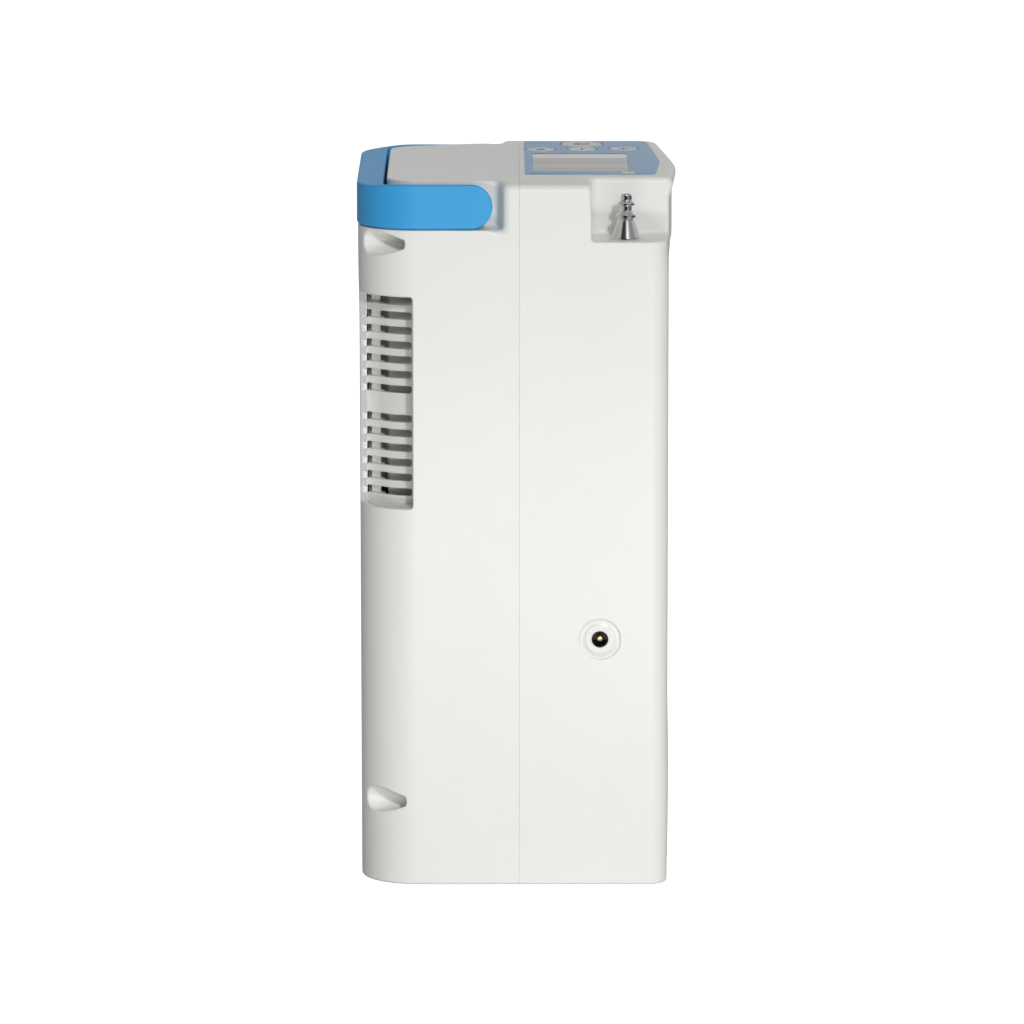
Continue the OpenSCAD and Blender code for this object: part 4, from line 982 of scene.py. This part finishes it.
# ------------------------------------------------------------------ floor, light
bm = bmesh.new()
bmesh.ops.create_grid(bm, x_segments=8, y_segments=8, size=14.0)
me = bpy.data.meshes.new("floor")
bm.to_mesh(me)
bm.free()
floor = bpy.data.objects.new("floor", me)
scene.collection.objects.link(floor)
n = Nodes("floor")
for link in list(n.t.links):
    n.t.links.remove(link)
df = n.new("ShaderNodeBsdfDiffuse")
lp = n.new("ShaderNodeLightPath")
x, y, _ = n.xyz()
round_at = n.unit(n.math("ARCTAN2", x, n.math("MULTIPLY", y, -1.0)), -math.pi, math.pi)
seen = n.ramp(round_at, [(0.0, (0.6, 0.6, 0.6)), (0.18, (0.55, 0.55, 0.55)), (0.40, (0.5, 0.5, 0.5)), (0.42, (0.02, 0.02, 0.02)), (0.54, (0.02, 0.02, 0.02)),
                         (0.57, (0.45, 0.45, 0.45)), (0.67, (0.45, 0.45, 0.45)), (0.70, (0.16, 0.16, 0.16)), (0.80, (0.16, 0.16, 0.16)), (0.86, (0.6, 0.6, 0.6))])
onto = n.mix(lp.outputs["Is Camera Ray"], (0.585, 0.585, 0.58), (0.86, 0.86, 0.85))
n.link(n.mix(lp.outputs["Is Glossy Ray"], onto, seen), df.inputs["Color"])
em = n.new("ShaderNodeEmission")
em.inputs["Color"].default_value = (1.0, 1.0, 0.995, 1)
n.link(n.math("ADD", n.math("MULTIPLY", lp.outputs["Is Camera Ray"], 0.75),
              n.math("MULTIPLY", n.math("SUBTRACT", 1.0, lp.outputs["Is Glossy Ray"]), 0.07)), em.inputs["Strength"])
ad = n.new("ShaderNodeAddShader")
n.link(df.outputs["BSDF"], ad.inputs[0])
n.link(em.outputs["Emission"], ad.inputs[1])
n.link(ad.outputs["Shader"], n.t.nodes["Material Output"].inputs["Surface"])
me.materials.append(n.mat)

world = bpy.data.worlds.new("studio")
scene.world = world
world.use_nodes = True
t = world.node_tree
bg = t.nodes["Background"]
tc = t.nodes.new("ShaderNodeTexCoord")
sx = t.nodes.new("ShaderNodeSeparateXYZ")
t.links.new(tc.outputs["Generated"], sx.inputs[0])


def wmath(op, a, b=None, clamp=False):
    m = t.nodes.new("ShaderNodeMath")
    m.operation, m.use_clamp = op, clamp
    for sock, v in ((m.inputs[0], a), (m.inputs[1], b)):
        if isinstance(v, bpy.types.NodeSocket):
            t.links.new(v, sock)
        elif v is not None:
            sock.default_value = v
    return m.outputs[0]


# soft boxes and dark gaps round the studio, by the angle from the front
turn = wmath("DIVIDE", wmath("ADD", wmath("ARCTAN2", sx.outputs[0], wmath("MULTIPLY", sx.outputs[1], -1.0)), math.pi), 2 * math.pi)
rp = t.nodes.new("ShaderNodeValToRGB")
STOPS = [(-180, 1.25), (-168, 1.1), (-150, 0.45), (-130, 0.4), (-110, 0.5), (-95, 0.34), (-72, 0.32), (-62, 0.62), (-50, 0.64), (-44, 0.07), (-14, 0.07),
         (-6, 0.3), (0, 0.6), (6, 1.55), (18, 1.55), (26, 0.85), (40, 0.5), (62, 0.42), (76, 0.5), (95, 0.8), (125, 0.75), (145, 0.8), (162, 1.1), (180, 1.25)]
e = rp.color_ramp.elements
while len(e) < len(STOPS):
    e.new(0.5)
for el, (deg, v) in zip(e, STOPS):
    el.position = (deg + 180) / 360
    el.color = (v, v, v * 1.005, 1)
t.links.new(turn, rp.inputs["Fac"])
up = t.nodes.new("ShaderNodeMapRange")
up.interpolation_type = "SMOOTHSTEP"
up.inputs["From Min"].default_value = 0.55
up.inputs["From Max"].default_value = 0.9
# the bright band behind is low; what is above it is as grey as the ceiling
rear = wmath("MULTIPLY", wmath("GREATER_THAN", sx.outputs[1], 0.25), 0.28)
t.links.new(wmath("ADD", sx.outputs[2], rear), up.inputs["Value"])
mixw = t.nodes.new("ShaderNodeMix")
mixw.data_type = "RGBA"
t.links.new(up.outputs["Result"], mixw.inputs[0])
t.links.new(rp.outputs["Color"], mixw.inputs[6])
mixw.inputs[7].default_value = (0.56, 0.56, 0.565, 1)
t.links.new(mixw.outputs[2], bg.inputs["Color"])
bg.inputs["Strength"].default_value = 0.62


def area(name, size, power, where, at=(0, 0, 0.12)):
    d = bpy.data.lights.new(name, "AREA")
    d.shape = "RECTANGLE"
    d.size, d.size_y = size
    d.energy = power
    o = bpy.data.objects.new(name, d)
    scene.collection.objects.link(o)
    o.location = where
    o.rotation_euler = (Vector(at) - Vector(where)).to_track_quat("-Z", "Y").to_euler()
    return o


az, el, dist = math.radians(13), math.radians(26), 4.0
key_at = (dist * math.sin(az) * math.cos(el), -dist * math.cos(az) * math.cos(el), 0.12 + dist * math.sin(el))
area("key", (0.17, 0.17), 46.5, key_at)
area("low_fill", (0.5, 0.06), 0.75, (0.08, -0.5, 0.05), (0.0, -0.06, 0.0))
